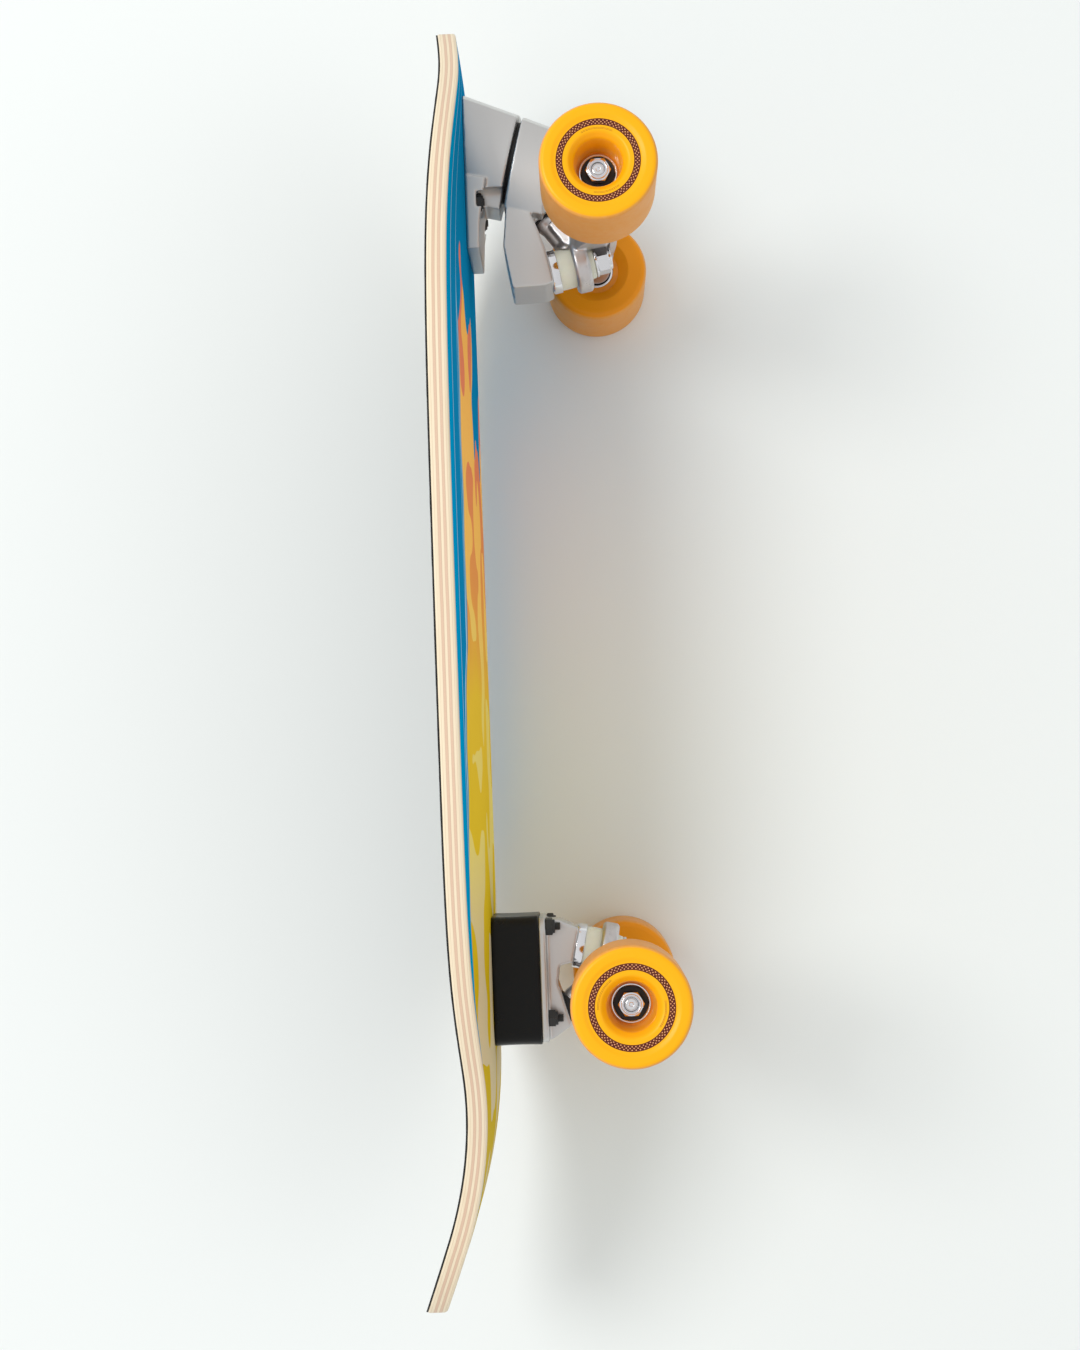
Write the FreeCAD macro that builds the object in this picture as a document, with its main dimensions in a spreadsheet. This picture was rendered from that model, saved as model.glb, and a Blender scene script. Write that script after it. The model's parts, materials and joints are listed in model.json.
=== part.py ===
import FreeCAD, Part
import math
import os
import Sketcher

# A surf-style skateboard: a maple deck with a kicktail, a sprung swivelling front truck,
# a rear truck on a tall riser, and four wide urethane wheels on ball bearings.
#
# Frame: +X towards the nose, +Y to the rider's left when facing the nose, +Z up. The origin is
# on the ground, midway between the nose tip and the tail tip. Lengths are in millimetres.
#
# Truck parts are drawn in a truck frame: the axle's middle is its origin, +X points away from
# the board's middle and +Z points up. The rear truck is the same frame turned half round.

Vector = FreeCAD.Vector
Rotation = FreeCAD.Rotation
Placement = FreeCAD.Placement

UP = Vector(0, 0, 1)
ACROSS = Vector(0, 1, 0)
NOWHERE = Vector(0, 0, 0)

document = FreeCAD.newDocument("surf_skateboard")
sheet = document.addObject("Spreadsheet::Sheet", "sizes")


class Size:
    """A length that knows its number and the spreadsheet formula it comes from."""

    def __init__(self, value, formula):
        self.value = value
        self.formula = formula

    def __add__(self, other):
        other = as_size(other)
        return Size(self.value + other.value, "(%s + %s)" % (self.formula, other.formula))

    def __sub__(self, other):
        other = as_size(other)
        return Size(self.value - other.value, "(%s - %s)" % (self.formula, other.formula))

    def __mul__(self, factor):
        return Size(self.value * factor, "(%s * %r)" % (self.formula, factor))

    def __radd__(self, other):
        return as_size(other) + self

    def __rsub__(self, other):
        return as_size(other) - self

    def __neg__(self):
        return Size(-self.value, "(0 - %s)" % self.formula)


def as_size(length):
    """A Size for a plain number, or the Size itself."""
    if isinstance(length, Size):
        return length
    return Size(float(length), repr(float(length)))


class Dimensions:
    """The driving dimensions, one attribute for each alias in the spreadsheet."""

    def __init__(self, rows):
        for row, (alias, value, meaning) in enumerate(rows, start=1):
            sheet.set("A%d" % row, meaning)
            sheet.set("B%d" % row, str(value))
            sheet.setAlias("B%d" % row, alias)
            setattr(self, alias, Size(float(value), "sizes." + alias))


dim = Dimensions([
    ("deck_length", 781.0, "nose tip to tail tip, seen from above"),
    ("deck_width", 250.0, "widest place of the deck"),
    ("deck_thickness", 11.0, "seven maple plies"),
    ("deck_underside", 112.6, "height of the flat underside above the ground"),
    ("grip_thickness", 1.0, "grip sheet on the top ply"),
    ("flat_half_width", 34.0, "the deck is flat this far each side of its centre line"),
    ("rail_radius", 521.0, "bend that lifts the rails"),
    ("nose_start", 335.0, "where the nose begins to lift"),
    ("nose_radius", 388.0, "bend of the nose"),
    ("kick_start", 240.0, "distance behind the origin where the kicktail begins"),
    ("kick_radius", 307.0, "bend of the kicktail"),
    ("kick_angle", 20.0, "kicktail angle in degrees"),
    ("front_axle", 261.5, "front axle ahead of the origin"),
    ("wheelbase", 462.0, "front axle to rear axle"),
    ("axle_height", 33.0, "axle above the ground"),
    ("axle_radius", 3.97, "axle rod"),
    ("axle_reach", 115.2, "axle tip from the centre line"),
    ("hanger_reach", 84.0, "hanger end from the centre line"),
    ("hanger_waist", 12.5, "hanger radius at the middle"),
    ("hanger_end", 9.0, "hanger radius at its ends"),
    ("wheel_radius", 33.0, "wheel"),
    ("wheel_width", 51.0, "wheel, face to face"),
    ("wheel_face", 131.0, "outer wheel face from the centre line"),
    ("lip", 4.5, "rounding of the wheel's edges"),
    ("core_radius", 16.5, "hard core inside the wheel"),
    ("washer", 1.1, "speed washer thickness"),
    ("bearing_radius", 11.0, "bearing, outside"),
    ("bearing_bore", 4.0, "bearing, bore radius"),
    ("bearing_width", 7.0, "bearing"),
    ("spacer_length", 10.0, "between the two bearings of a wheel"),
    ("race_outer", 9.55, "inside radius of the outer race"),
    ("race_inner", 5.45, "outside radius of the inner race"),
    ("ball_radius", 1.98, "bearing ball"),
    ("ball_circle", 7.5, "radius of the ring of balls"),
    ("king_inset", 20.3, "yoke ring inboard of the axle"),
    ("king_rise", 11.0, "yoke ring above the axle"),
    ("king_lean", 12.0, "kingpin lean in degrees"),
    ("king_radius", 4.76, "kingpin shank"),
    ("king_seat", 20.0, "yoke ring's middle to the upper washer's seat"),
    ("king_head", 33.5, "yoke ring's middle to the kingpin's head"),
    ("head_recess", 8.2, "recess round the kingpin's head"),
    ("ring_radius", 17.0, "yoke ring, outside"),
    ("ring_half", 5.0, "half the thickness of the yoke ring"),
    ("ring_bore", 7.5, "yoke ring, bore radius"),
    ("pivot_reach", 8.7, "pivot cup's mouth outboard of the axle"),
    ("pivot_rise", 35.0, "pivot cup's mouth above the axle"),
    ("pivot_radius", 5.6, "rounded pivot tip"),
    ("cup_radius", 8.5, "pivot cup, outside"),
    ("swivel_reach", 45.9, "swivel axis outboard of the axle, at the swivel joint"),
    ("swivel_rise", 51.2, "swivel joint above the axle, on the swivel axis"),
    ("swivel_lean", 14.2, "swivel axis lean in degrees"),
    ("swivel_gap", 2.8, "gap between adapter base and swivel arm"),
    ("swivel_half", 26.0, "half width of the adapter where its front facet begins"),
    ("bolt_radius", 2.4, "deck bolts"),
    ("sink_radius", 5.4, "countersink of a deck bolt, at its rim"),
    ("bolt_pitch_x", 54.0, "deck bolts, along the board"),
    ("bolt_pitch_y", 41.2, "deck bolts, across the board"),
    ("front_bolts", 277.0, "rear pair of the adapter's deck bolts"),
    ("rear_bolts", 217.2, "rear truck's last pair of bolts behind the origin"),
    ("riser_thickness", 28.1, "rear riser"),
    ("plate_thickness", 4.2, "rear baseplate"),
    ("plate_half_width", 28.0, "rear baseplate and riser"),
])
document.recompute()

BACK_AXLE = dim.front_axle - dim.wheelbase
STEER_RUN = dim.pivot_reach + dim.king_inset
STEER_CLIMB = dim.pivot_rise - dim.king_rise
STEER_LENGTH = math.hypot(STEER_RUN.value, STEER_CLIMB.value)
STEER_TILT = -math.degrees(math.atan2(STEER_RUN.value, STEER_CLIMB.value))
BEARING_IN = dim.hanger_reach + dim.washer
BEARING_OUT = BEARING_IN + dim.bearing_width * 2 + dim.spacer_length
UNDERSIDE = dim.deck_underside - dim.axle_height
PLATE_TOP = UNDERSIDE - dim.riser_thickness
PLATE_LOW = PLATE_TOP - dim.plate_thickness


# ---------------------------------------------------------------- drawing tools

made = []


def new_body(name, place=Placement()):
    """A body whose label is its node name; it is listed for checking and writing."""
    body = document.addObject("PartDesign::Body", name)
    body.Label = name
    body.Placement = place
    made.append(body)
    return body


def origin_part(body, role):
    """A plane or axis of a body's own origin."""
    return [item for item in body.Origin.OriginFeatures if item.Role == role][0]


def new_sketch(body, plane, offset=Placement()):
    """An empty sketch on one of the body's own origin planes."""
    sketch = body.newObject("Sketcher::SketchObject", body.Name + "_sketch")
    sketch.AttachmentSupport = [(origin_part(body, plane), "")]
    sketch.MapMode = "FlatFace"
    sketch.AttachmentOffset = offset
    return sketch


def bind(thing, path, length):
    """Tie a property to the spreadsheet where its value comes from there."""
    length = as_size(length)
    if "sizes." in length.formula:
        thing.setExpression(path, length.formula)


def hold(sketch, kind, index, point, length):
    """Fix one coordinate of a point in a sketch."""
    length = as_size(length)
    number = sketch.addConstraint(Sketcher.Constraint(kind, -1, 1, index, point, length.value))
    bind(sketch, "Constraints[%d]" % number, length)


def bent_side(start, end, radius):
    """Arc from start to end: it turns left for a positive radius, right for a negative one."""
    chord = end - start
    sideways = math.sqrt(max(radius * radius - chord.Length ** 2 / 4, 0.0))
    left = Vector(-chord.y, chord.x, 0).normalize()
    centre = start + chord * 0.5 + left * math.copysign(sideways, radius)
    first, last = (start, end) if radius > 0 else (end, start)
    angles = [math.atan2(p.y - centre.y, p.x - centre.x) for p in (first, last)]
    if angles[1] <= angles[0]:
        angles[1] += 2 * math.pi
    return Part.ArcOfCircle(Part.Circle(centre, UP, abs(radius)), *angles)


def loop(sketch, corners):
    """A closed outline. A corner is (x, y), or (x, y, radius) where the next side is bent."""
    spots = [Vector(as_size(c[0]).value, as_size(c[1]).value, 0) for c in corners]
    count = len(corners)
    sides = []
    for index, corner in enumerate(corners):
        start = spots[index]
        end = spots[(index + 1) % count]
        if len(corner) == 2:
            sides.append((sketch.addGeometry(Part.LineSegment(start, end)), 1, 2))
            continue
        number = sketch.addGeometry(bent_side(start, end, as_size(corner[2]).value))
        sides.append((number, 1, 2) if as_size(corner[2]).value > 0 else (number, 2, 1))
    for index, corner in enumerate(corners):
        number, first, _ = sides[index]
        before, _, last = sides[index - 1]
        sketch.addConstraint(Sketcher.Constraint("Coincident", before, last, number, first))
        hold(sketch, "DistanceX", number, first, corner[0])
        hold(sketch, "DistanceY", number, first, corner[1])
        if len(corner) == 3:
            radius = abs(as_size(corner[2]).value)
            sketch.addConstraint(Sketcher.Constraint("Radius", number, radius))


def circle(sketch, x, y, radius):
    """A circle held by its centre and radius."""
    centre = Vector(as_size(x).value, as_size(y).value, 0)
    number = sketch.addGeometry(Part.Circle(centre, UP, as_size(radius).value))
    hold(sketch, "DistanceX", number, 3, x)
    hold(sketch, "DistanceY", number, 3, y)
    rule = sketch.addConstraint(Sketcher.Constraint("Radius", number, as_size(radius).value))
    bind(sketch, "Constraints[%d]" % rule, radius)


def hexagon(sketch, flats):
    """A hexagon about the sketch's origin, given across its flats."""
    corner = flats / math.sqrt(3)
    turns = [math.radians(60 * k) for k in range(6)]
    loop(sketch, [(corner * math.cos(a), corner * math.sin(a)) for a in turns])


def extrude(body, kind, sketch, length=None, symmetric=False, reverse=False):
    """A Pad or a Pocket of a sketch; without a length a Pocket goes through all."""
    feature = body.newObject("PartDesign::" + kind, body.Name + "_" + kind.lower())
    feature.Profile = sketch
    if length is None:
        feature.Type = "ThroughAll"
    else:
        feature.Length = as_size(length).value
        bind(feature, "Length", length)
    feature.SideType = "Symmetric" if symmetric else "One side"
    feature.Reversed = reverse
    return feature


def turn(body, kind, sketch, axis="V_Axis"):
    """A Revolution or a Groove of a sketch, all the way round its upright axis."""
    feature = body.newObject("PartDesign::" + kind, body.Name + "_" + kind.lower())
    feature.Profile = sketch
    feature.ReferenceAxis = (sketch, [axis])
    feature.Angle = 360
    return feature


def slab(body, kind, corners, length=None):
    """Pad or Pocket an outline drawn on the XZ plane, to both sides equally."""
    sketch = new_sketch(body, "XZ_Plane")
    loop(sketch, corners)
    return extrude(body, kind, sketch, length, symmetric=True)


def spin(body, kind, corners, offset=Placement(), plane="XZ_Plane"):
    """Turn one outline, or several, about the sketch's upright axis."""
    sketch = new_sketch(body, plane, offset)
    outlines = corners if isinstance(corners[0], list) else [corners]
    for outline in outlines:
        loop(sketch, outline)
    return turn(body, kind, sketch)


def bore(body, kind, spots, radius, offset=Placement(), length=None, plane="XY_Plane"):
    """Round Pads or Pockets at spots in a plane; a Pocket goes both ways without a length."""
    sketch = new_sketch(body, plane, offset)
    for x, y in spots:
        circle(sketch, x, y, radius)
    return extrude(body, kind, sketch, length, symmetric=length is None)


def block(low_r, low_y, high_r, high_y):
    """A rectangle given by two opposite corners."""
    return [(low_r, low_y), (high_r, low_y), (high_r, high_y), (low_r, high_y)]


def mirror_across(body, features):
    """Repeat features on the other side of the board's centre plane."""
    feature = body.newObject("PartDesign::Mirrored", body.Name + "_mirrored")
    feature.Originals = features
    feature.MirrorPlane = (origin_part(body, "XZ_Plane"), [""])
    body.Tip = feature
    return feature


def straight_row(body, features, role, pitch, count):
    """A linear pattern of features along one of the body's axes."""
    feature = body.newObject("PartDesign::LinearPattern", body.Name + "_row")
    feature.Originals = features
    feature.Direction = (origin_part(body, role), [""])
    feature.Length = as_size(pitch).value * (count - 1)
    bind(feature, "Length", as_size(pitch) * (count - 1))
    feature.Occurrences = count
    return feature


def grid(body, features, steps):
    """Repeat features along several axes at once; steps are (role, pitch, count)."""
    rows = [straight_row(body, [], role, pitch, count) for role, pitch, count in steps]
    feature = body.newObject("PartDesign::MultiTransform", body.Name + "_grid")
    feature.Originals = features
    feature.Transformations = rows
    body.Tip = feature
    return feature


def soften(body, radius, wanted):
    """Round the edges of the body's last feature that the test picks out."""
    document.recompute()
    last = body.Tip
    names = ["Edge%d" % (n + 1) for n, edge in enumerate(last.Shape.Edges) if wanted(edge)]
    feature = body.newObject("PartDesign::Fillet", body.Name + "_fillet")
    feature.Base = (last, names)
    feature.Radius = radius
    return feature


def lengthwise(edge, tolerance=0.05):
    """True for a straight edge that runs across the board."""
    if edge.Curve.TypeId != "Part::GeomLine":
        return False
    return abs(edge.Vertexes[0].X - edge.Vertexes[-1].X) < tolerance and abs(
        edge.Vertexes[0].Z - edge.Vertexes[-1].Z) < tolerance


def truck_place(end):
    """Where a truck's own frame stands on the board."""
    if end == "front":
        return Placement(Vector(dim.front_axle.value, 0, dim.axle_height.value), Rotation())
    return Placement(Vector(BACK_AXLE.value, 0, dim.axle_height.value), Rotation(UP, 180))


def side_place(end, side):
    """A truck frame for one wheel: the right wheel is the left one turned half round."""
    turn = 0 if side == "left" else 180
    return Placement(truck_place(end).Base, Rotation(UP, turn))


KING = Placement(Vector(-dim.king_inset.value, dim.king_rise.value, 0),
                 Rotation(UP, dim.king_lean.value))
STEER = Placement(Vector(-dim.king_inset.value, dim.king_rise.value, 0),
                  Rotation(UP, STEER_TILT))
SWIVEL = Placement(Vector(dim.swivel_reach.value, dim.swivel_rise.value, 0),
                   Rotation(UP, -dim.swivel_lean.value))


def swivel_level(height):
    """Offset of a sketch on the XY plane that stands square to the swivel axis."""
    lean = math.radians(dim.swivel_lean.value)
    base = Vector(dim.swivel_reach.value + height * math.sin(lean), 0,
                  dim.swivel_rise.value + height * math.cos(lean))
    return Placement(base, Rotation(ACROSS, dim.swivel_lean.value))


def king_level(height):
    """Offset of a sketch on the XY plane that stands square to the kingpin."""
    lean = math.radians(dim.king_lean.value)
    base = Vector(-dim.king_inset.value - height * math.sin(lean), 0,
                  dim.king_rise.value + height * math.cos(lean))
    return Placement(base, Rotation(ACROSS, -dim.king_lean.value))


# ---------------------------------------------------------------- deck and grip

def deck_outline(margin):
    """Poles of one side of the plan outline, nose to tail, as (x, half width)."""
    half = dim.deck_length.value / 2
    wide = dim.deck_width.value / 2
    shape = [(1.0, 0.0), (1.0, 0.104), (0.93, 0.28), (0.80, 0.67), (0.62, 0.975),
             (0.282, 1.002), (-0.18, 1.0), (-0.487, 0.984), (-0.615, 0.712), (-0.761, 0.496),
             (-0.901, 0.376), (-0.978, 0.16), (-1.0, 0.064), (-1.0, 0.0)]
    return [(x * (half - margin), y * (wide - margin)) for x, y in shape]


def deck_skin(name, height, thickness, margin):
    """A sheet that follows the deck: flat middle, raised rails, lifted nose and kicktail."""
    body = new_body(name)
    half_cut = dim.deck_width * 0.5 + 6
    flat = dim.flat_half_width
    rise = half_cut - flat
    lift = dim.rail_radius.value - math.sqrt(dim.rail_radius.value ** 2 - rise.value ** 2)
    low = height
    high = height + thickness
    bend = dim.rail_radius.value
    section = [(-half_cut, low + lift, bend), (-flat, low), (flat, low, bend),
               (half_cut, low + lift), (half_cut, high + lift, -bend),
               (flat, high), (-flat, high, -bend), (-half_cut, high + lift)]
    base = low.value
    above = base - dim.deck_underside.value
    nose_turn = 0.17
    nose = dim.nose_radius.value - above
    kick = dim.kick_radius.value - above
    slope = math.radians(dim.kick_angle.value)
    start = dim.nose_start.value
    back = -dim.kick_start.value
    kick_end = Vector(back - kick * math.sin(slope), base + kick * (1 - math.cos(slope)), 0)
    tail_end = kick_end + Vector(-math.cos(slope), math.sin(slope), 0) * 60
    runs = [
        [Part.LineSegment(Vector(0, base, 0), Vector(start, base, 0)),
         Part.ArcOfCircle(Part.Circle(Vector(start, base + nose, 0), UP, nose),
                          -math.pi / 2, -math.pi / 2 + nose_turn)],
        [Part.LineSegment(Vector(0, base, 0), Vector(back, base, 0)),
         Part.ArcOfCircle(Part.Circle(Vector(back, base + kick, 0), UP, kick),
                          -math.pi / 2 - slope, -math.pi / 2),
         Part.LineSegment(kick_end, tail_end)]]
    for run in runs:
        profile = new_sketch(body, "YZ_Plane")
        loop(profile, section)
        spine = new_sketch(body, "XZ_Plane")
        for piece in run:
            spine.addGeometry(piece)
        document.recompute()
        pipe = body.newObject("PartDesign::AdditivePipe", name + "_run")
        pipe.Profile = profile
        pipe.Spine = spine
        pipe.Mode = "Frenet"
        document.recompute()
    trim = new_sketch(body, "XY_Plane")
    loop(trim, block(-460, -200, 460, 200))
    for sign in (1, -1):
        curve = Part.BSplineCurve()
        poles = [Vector(x, sign * y, 0) for x, y in deck_outline(margin)]
        curve.buildFromPoles(poles, False, 3)
        trim.addGeometry(curve)
    extrude(body, "Pocket", trim, symmetric=True)
    return body


def bolt_spots():
    """Every deck bolt's place, seen from above."""
    half = dim.bolt_pitch_y * 0.5
    fronts = (dim.front_bolts, dim.front_bolts + dim.bolt_pitch_x)
    backs = (-dim.rear_bolts, dim.bolt_pitch_x - dim.rear_bolts)
    return [(x, y) for x in fronts + backs for y in (-half, half)]


def countersink(body, top, radius, deep):
    """Conical seats for the bolt heads, cut down from a height."""
    sketch = new_sketch(body, "XY_Plane", Placement(Vector(0, 0, top), Rotation()))
    for x, y in bolt_spots():
        circle(sketch, x, y, radius)
    feature = extrude(body, "Pocket", sketch, deep)
    return feature


deck_top = dim.deck_underside + dim.deck_thickness
grip_top = deck_top + dim.grip_thickness

deck = deck_skin("deck", dim.deck_underside, dim.deck_thickness, 0.0)
bore(deck, "Pocket", bolt_spots(), dim.bolt_radius + 0.2)
sink = countersink(deck, deck_top.value, dim.sink_radius, dim.sink_radius - dim.bolt_radius - 0.1)
sink.TaperAngle = -45

grip = deck_skin("grip_tape", deck_top, dim.grip_thickness, 0.6)
bore(grip, "Pocket", bolt_spots(), dim.sink_radius)


# ---------------------------------------------------------------- deck bolts and nuts

def deck_bolts(name, first_x, length):
    """Four countersunk bolts with hexagon sockets, heads level with the deck's top ply."""
    half = dim.bolt_pitch_y * 0.5
    body = new_body(name, Placement(Vector(first_x.value, -half.value, deck_top.value), Rotation()))
    head = dim.bolt_radius * 2.0
    shank = spin(body, "Revolution", [
        (0, -length), (dim.bolt_radius, -length), (dim.bolt_radius, -dim.bolt_radius - 0.4),
        (head, -0.4), (head, 0.2), (0, 0.2)])
    socket = new_sketch(body, "XY_Plane", Placement(Vector(0, 0, 0.2), Rotation()))
    hexagon(socket, 3.2)
    drive = extrude(body, "Pocket", socket, 1.8)
    grid(body, [shank, drive],
         [("X_Axis", dim.bolt_pitch_x, 2), ("Y_Axis", dim.bolt_pitch_y, 2)])
    return body


def lock_nut(body, flats, height, hole, collar):
    """A hexagon lock nut standing on the body's XY plane, with its collar on top."""
    outline = new_sketch(body, "XY_Plane")
    hexagon(outline, flats)
    circle(outline, 0, 0, hole)
    hexagon_pad = extrude(body, "Pad", outline, height)
    corner = flats / math.sqrt(3)
    chamfer = spin(body, "Groove", [
        (corner * 0.9, height + 1), (corner * 0.9, height), (corner + 0.1, height - corner * 0.06),
        (corner + 1, height - corner * 0.06), (corner + 1, height + 1)])
    rim = new_sketch(body, "XY_Plane", Placement(Vector(0, 0, height), Rotation()))
    circle(rim, 0, 0, flats * 0.43)
    circle(rim, 0, 0, hole)
    collar_pad = extrude(body, "Pad", rim, collar)
    return [hexagon_pad, chamfer, collar_pad]


def deck_nuts(name, first_x, seat, height, collar, steps):
    """Lock nuts on the deck bolts, collars down."""
    half = dim.bolt_pitch_y * 0.5
    body = new_body(name, Placement(Vector(first_x.value, half.value, seat.value),
                                    Rotation(Vector(1, 0, 0), 180)))
    features = lock_nut(body, 9.5, height, dim.bolt_radius, collar)
    grid(body, features, steps)
    return body


FLANGE = 7.6
THIN_NUT_SEAT = 6.7
deck_bolts("front_deck_bolts", dim.front_bolts, 22.4)
deck_bolts("rear_deck_bolts", -dim.rear_bolts, 52.0)
deck_nuts("front_deck_nuts", dim.front_bolts, dim.deck_underside - THIN_NUT_SEAT, 3.0, 1.0,
          [("Y_Axis", dim.bolt_pitch_y, 2)])
deck_nuts("rear_deck_nuts", -dim.rear_bolts, dim.axle_height + PLATE_LOW, 4.2, 1.4,
          [("X_Axis", dim.bolt_pitch_x, 2), ("Y_Axis", dim.bolt_pitch_y, 2)])


# ---------------------------------------------------------------- rear riser and baseplate

def rounded_plate(body, level, centre, half_length, half_width, corner, thickness):
    """A plate with rounded corners on the body's XY plane at a level."""
    sketch = new_sketch(body, "XY_Plane", Placement(Vector(0, 0, level), Rotation()))
    x0, x1 = centre - half_length, centre + half_length
    y1 = as_size(half_width)
    y0 = -y1
    loop(sketch, [(x0 + corner, y0), (x1 - corner, y0, corner), (x1, y0 + corner),
                  (x1, y1 - corner, corner), (x1 - corner, y1), (x0 + corner, y1, corner),
                  (x0, y1 - corner), (x0, y0 + corner, corner)])
    return extrude(body, "Pad", sketch, thickness)


def rear_hole_spots():
    """The rear truck's four bolt places in its own frame."""
    half = dim.bolt_pitch_y * 0.5
    first = dim.rear_bolts + BACK_AXLE
    return [(x, y) for x in (first, first - dim.bolt_pitch_x) for y in (-half, half)]


riser = new_body("riser_pad", truck_place("rear"))
rounded_plate(riser, PLATE_TOP.value, -6.0, 38.0, dim.plate_half_width, 9.0, dim.riser_thickness)
bore(riser, "Pocket", rear_hole_spots(), dim.bolt_radius + 0.2)

plate = new_body("rear_baseplate", truck_place("rear"))
rounded_plate(plate, PLATE_LOW.value, -6.0, 37.0, dim.plate_half_width - 0.8, 9.0, dim.plate_thickness)
slab(plate, "Pad", [
    (-40.7, PLATE_LOW + 1), (-40.7, 39.9), (-35.2, 27.6), (-15.0, 31.9), (-13.4, 39.9),
    (-2.7, 41.2), (5.6, 38.4), (22.2, 34.0), (29.6, 45.2), (29.6, PLATE_LOW + 1)], 29.0)
soften(plate, 2.2, lambda e: lengthwise(e) and e.BoundBox.ZMin < 44
       and not (-15.5 < e.BoundBox.XMin < -14.5) and e.BoundBox.XMin > -34)
spin(plate, "Groove", block(0, STEER_LENGTH - 12, dim.cup_radius, STEER_LENGTH + 11), STEER)
spin(plate, "Groove", block(0, 0, 14.2, dim.king_seat), KING)
spin(plate, "Groove", block(0, 10, dim.king_radius, 60), KING)
spin(plate, "Groove", block(0, dim.king_head, dim.head_recess, 70), KING)
bore(plate, "Pocket", rear_hole_spots(), dim.bolt_radius + 0.2)


# ---------------------------------------------------------------- swivel adapter

def barrel_section(body, height, front, tail, tail_half):
    """The adapter's section square to the swivel axis: bowed flanks and a bowed front facet."""
    shoulder = front - FACET_DEPTH
    half = dim.swivel_half
    facet_radius = (half.value ** 2 + FACET_DEPTH ** 2) / (2 * FACET_DEPTH)
    sketch = new_sketch(body, "XY_Plane", swivel_level(height))
    loop(sketch, [(shoulder, -half, facet_radius), (shoulder, half, FLANK_RADIUS),
                  (-tail, tail_half), (-tail, -tail_half, FLANK_RADIUS)])
    return sketch


def barrel(body, low, high, fronts, tail, tail_half):
    """Loft the adapter's section between two heights on the swivel axis."""
    lower = barrel_section(body, low, fronts[0], tail, tail_half)
    upper = barrel_section(body, high, fronts[1], tail, tail_half)
    feature = body.newObject("PartDesign::AdditiveLoft", body.Name + "_loft")
    feature.Profile = lower
    feature.Sections = [upper]
    feature.Ruled = True
    return feature


FACET_DEPTH = 8.0
FLANK_RADIUS = 78.0
TONGUE_HALF = 20.0
HEAD_SEAT = 17.5
SPRING_ROOM = 13.5
ARM_LOW = -27.0
NUT_SEAT = -19.5

base = new_body("adapter_base", truck_place("front"))
barrel(base, 0, 42, (28.0, 34.2), 33.6, TONGUE_HALF)
slab(base, "Pad", [(-14.9, UNDERSIDE), (-14.9, UNDERSIDE - FLANGE), (3.7, 71.0),
                   (28.7, 66.7), (31.3, UNDERSIDE)], 57.0)
slab(base, "Pocket", [(-60, UNDERSIDE), (110, UNDERSIDE), (110, 130), (-60, 130)])
first_bolt = dim.front_bolts - dim.front_axle
bolt_side = dim.bolt_pitch_y * 0.5
bore(base, "Pocket", [(first_bolt, -bolt_side), (first_bolt, bolt_side)], 8.6,
     Placement(Vector(0, 0, UNDERSIDE.value - THIN_NUT_SEAT), Rotation()), 30.0)
bore(base, "Pocket", [(first_bolt, -bolt_side), (first_bolt, bolt_side)], dim.bolt_radius + 0.2)
bore(base, "Pocket", [(first_bolt + dim.bolt_pitch_x, -bolt_side),
                      (first_bolt + dim.bolt_pitch_x, bolt_side)], dim.bolt_radius,
     Placement(Vector(0, 0, UNDERSIDE.value), Rotation()), 12.4)
spin(base, "Groove", block(0, -5, 19.5, SPRING_ROOM), SWIVEL)
spin(base, "Groove", block(0, 0, 6.1, 60), SWIVEL)
spin(base, "Groove", block(0, HEAD_SEAT, 10.4, 60), SWIVEL)

disc = new_body("thrust_disc", truck_place("front"))
spin(disc, "Revolution", block(6.2, -dim.swivel_gap + 0.1, 25.0, 0), SWIVEL)

spring = new_body("swivel_spring", truck_place("front"))
wire = new_sketch(spring, "XZ_Plane", SWIVEL)
circle(wire, 14.0, 2.4, 1.7)
coil = spring.newObject("PartDesign::AdditiveHelix", "swivel_spring_coil")
coil.Profile = wire
coil.ReferenceAxis = (wire, ["V_Axis"])
coil.Mode = "pitch-height-angle"
coil.Pitch = 4.2
coil.Height = 8.6
coil.Angle = 0

pin = new_body("swivel_pin", truck_place("front"))
spin(pin, "Revolution", [
    (0, ARM_LOW + 0.4), (6.0, ARM_LOW + 0.4), (6.0, HEAD_SEAT), (9.0, HEAD_SEAT),
    (9.0, HEAD_SEAT + 6), (8.2, HEAD_SEAT + 6.8), (0, HEAD_SEAT + 6.8)], SWIVEL)
pin_socket = new_sketch(pin, "XY_Plane", swivel_level(HEAD_SEAT + 6.8))
hexagon(pin_socket, 8.0)
extrude(pin, "Pocket", pin_socket, 4.0)

arm = new_body("swivel_arm", truck_place("front"))
barrel(arm, ARM_LOW, -dim.swivel_gap.value, (23.6, 27.5), 34.0, TONGUE_HALF)
slab(arm, "Pad", [
    (16.0, 55.2), (-11.8, 57.9), (-38.4, 53.3), (-37.5, 33.0), (-35.3, 27.7), (-12.6, 32.6),
    (6.4, 39.8), (16.0, 42.0)], 2 * TONGUE_HALF)
soften(arm, 2.0, lambda e: lengthwise(e) and e.BoundBox.XMin < -33 and e.Length > 30)
spin(arm, "Revolution", block(0, STEER_LENGTH - 1, 12.0, STEER_LENGTH + 12), STEER)
spin(arm, "Groove", block(0, STEER_LENGTH - 12, dim.cup_radius, STEER_LENGTH + 11), STEER)
spin(arm, "Groove", block(0, 0, 14.2, dim.king_seat), KING)
spin(arm, "Groove", block(0, 10, dim.king_radius, 60), KING)
spin(arm, "Groove", block(0, dim.king_head, dim.head_recess, 60), KING)
spin(arm, "Groove", block(0, -60, 8.0, 20), SWIVEL)
spin(arm, "Groove", block(0, -60, 11.4, NUT_SEAT), SWIVEL)

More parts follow.
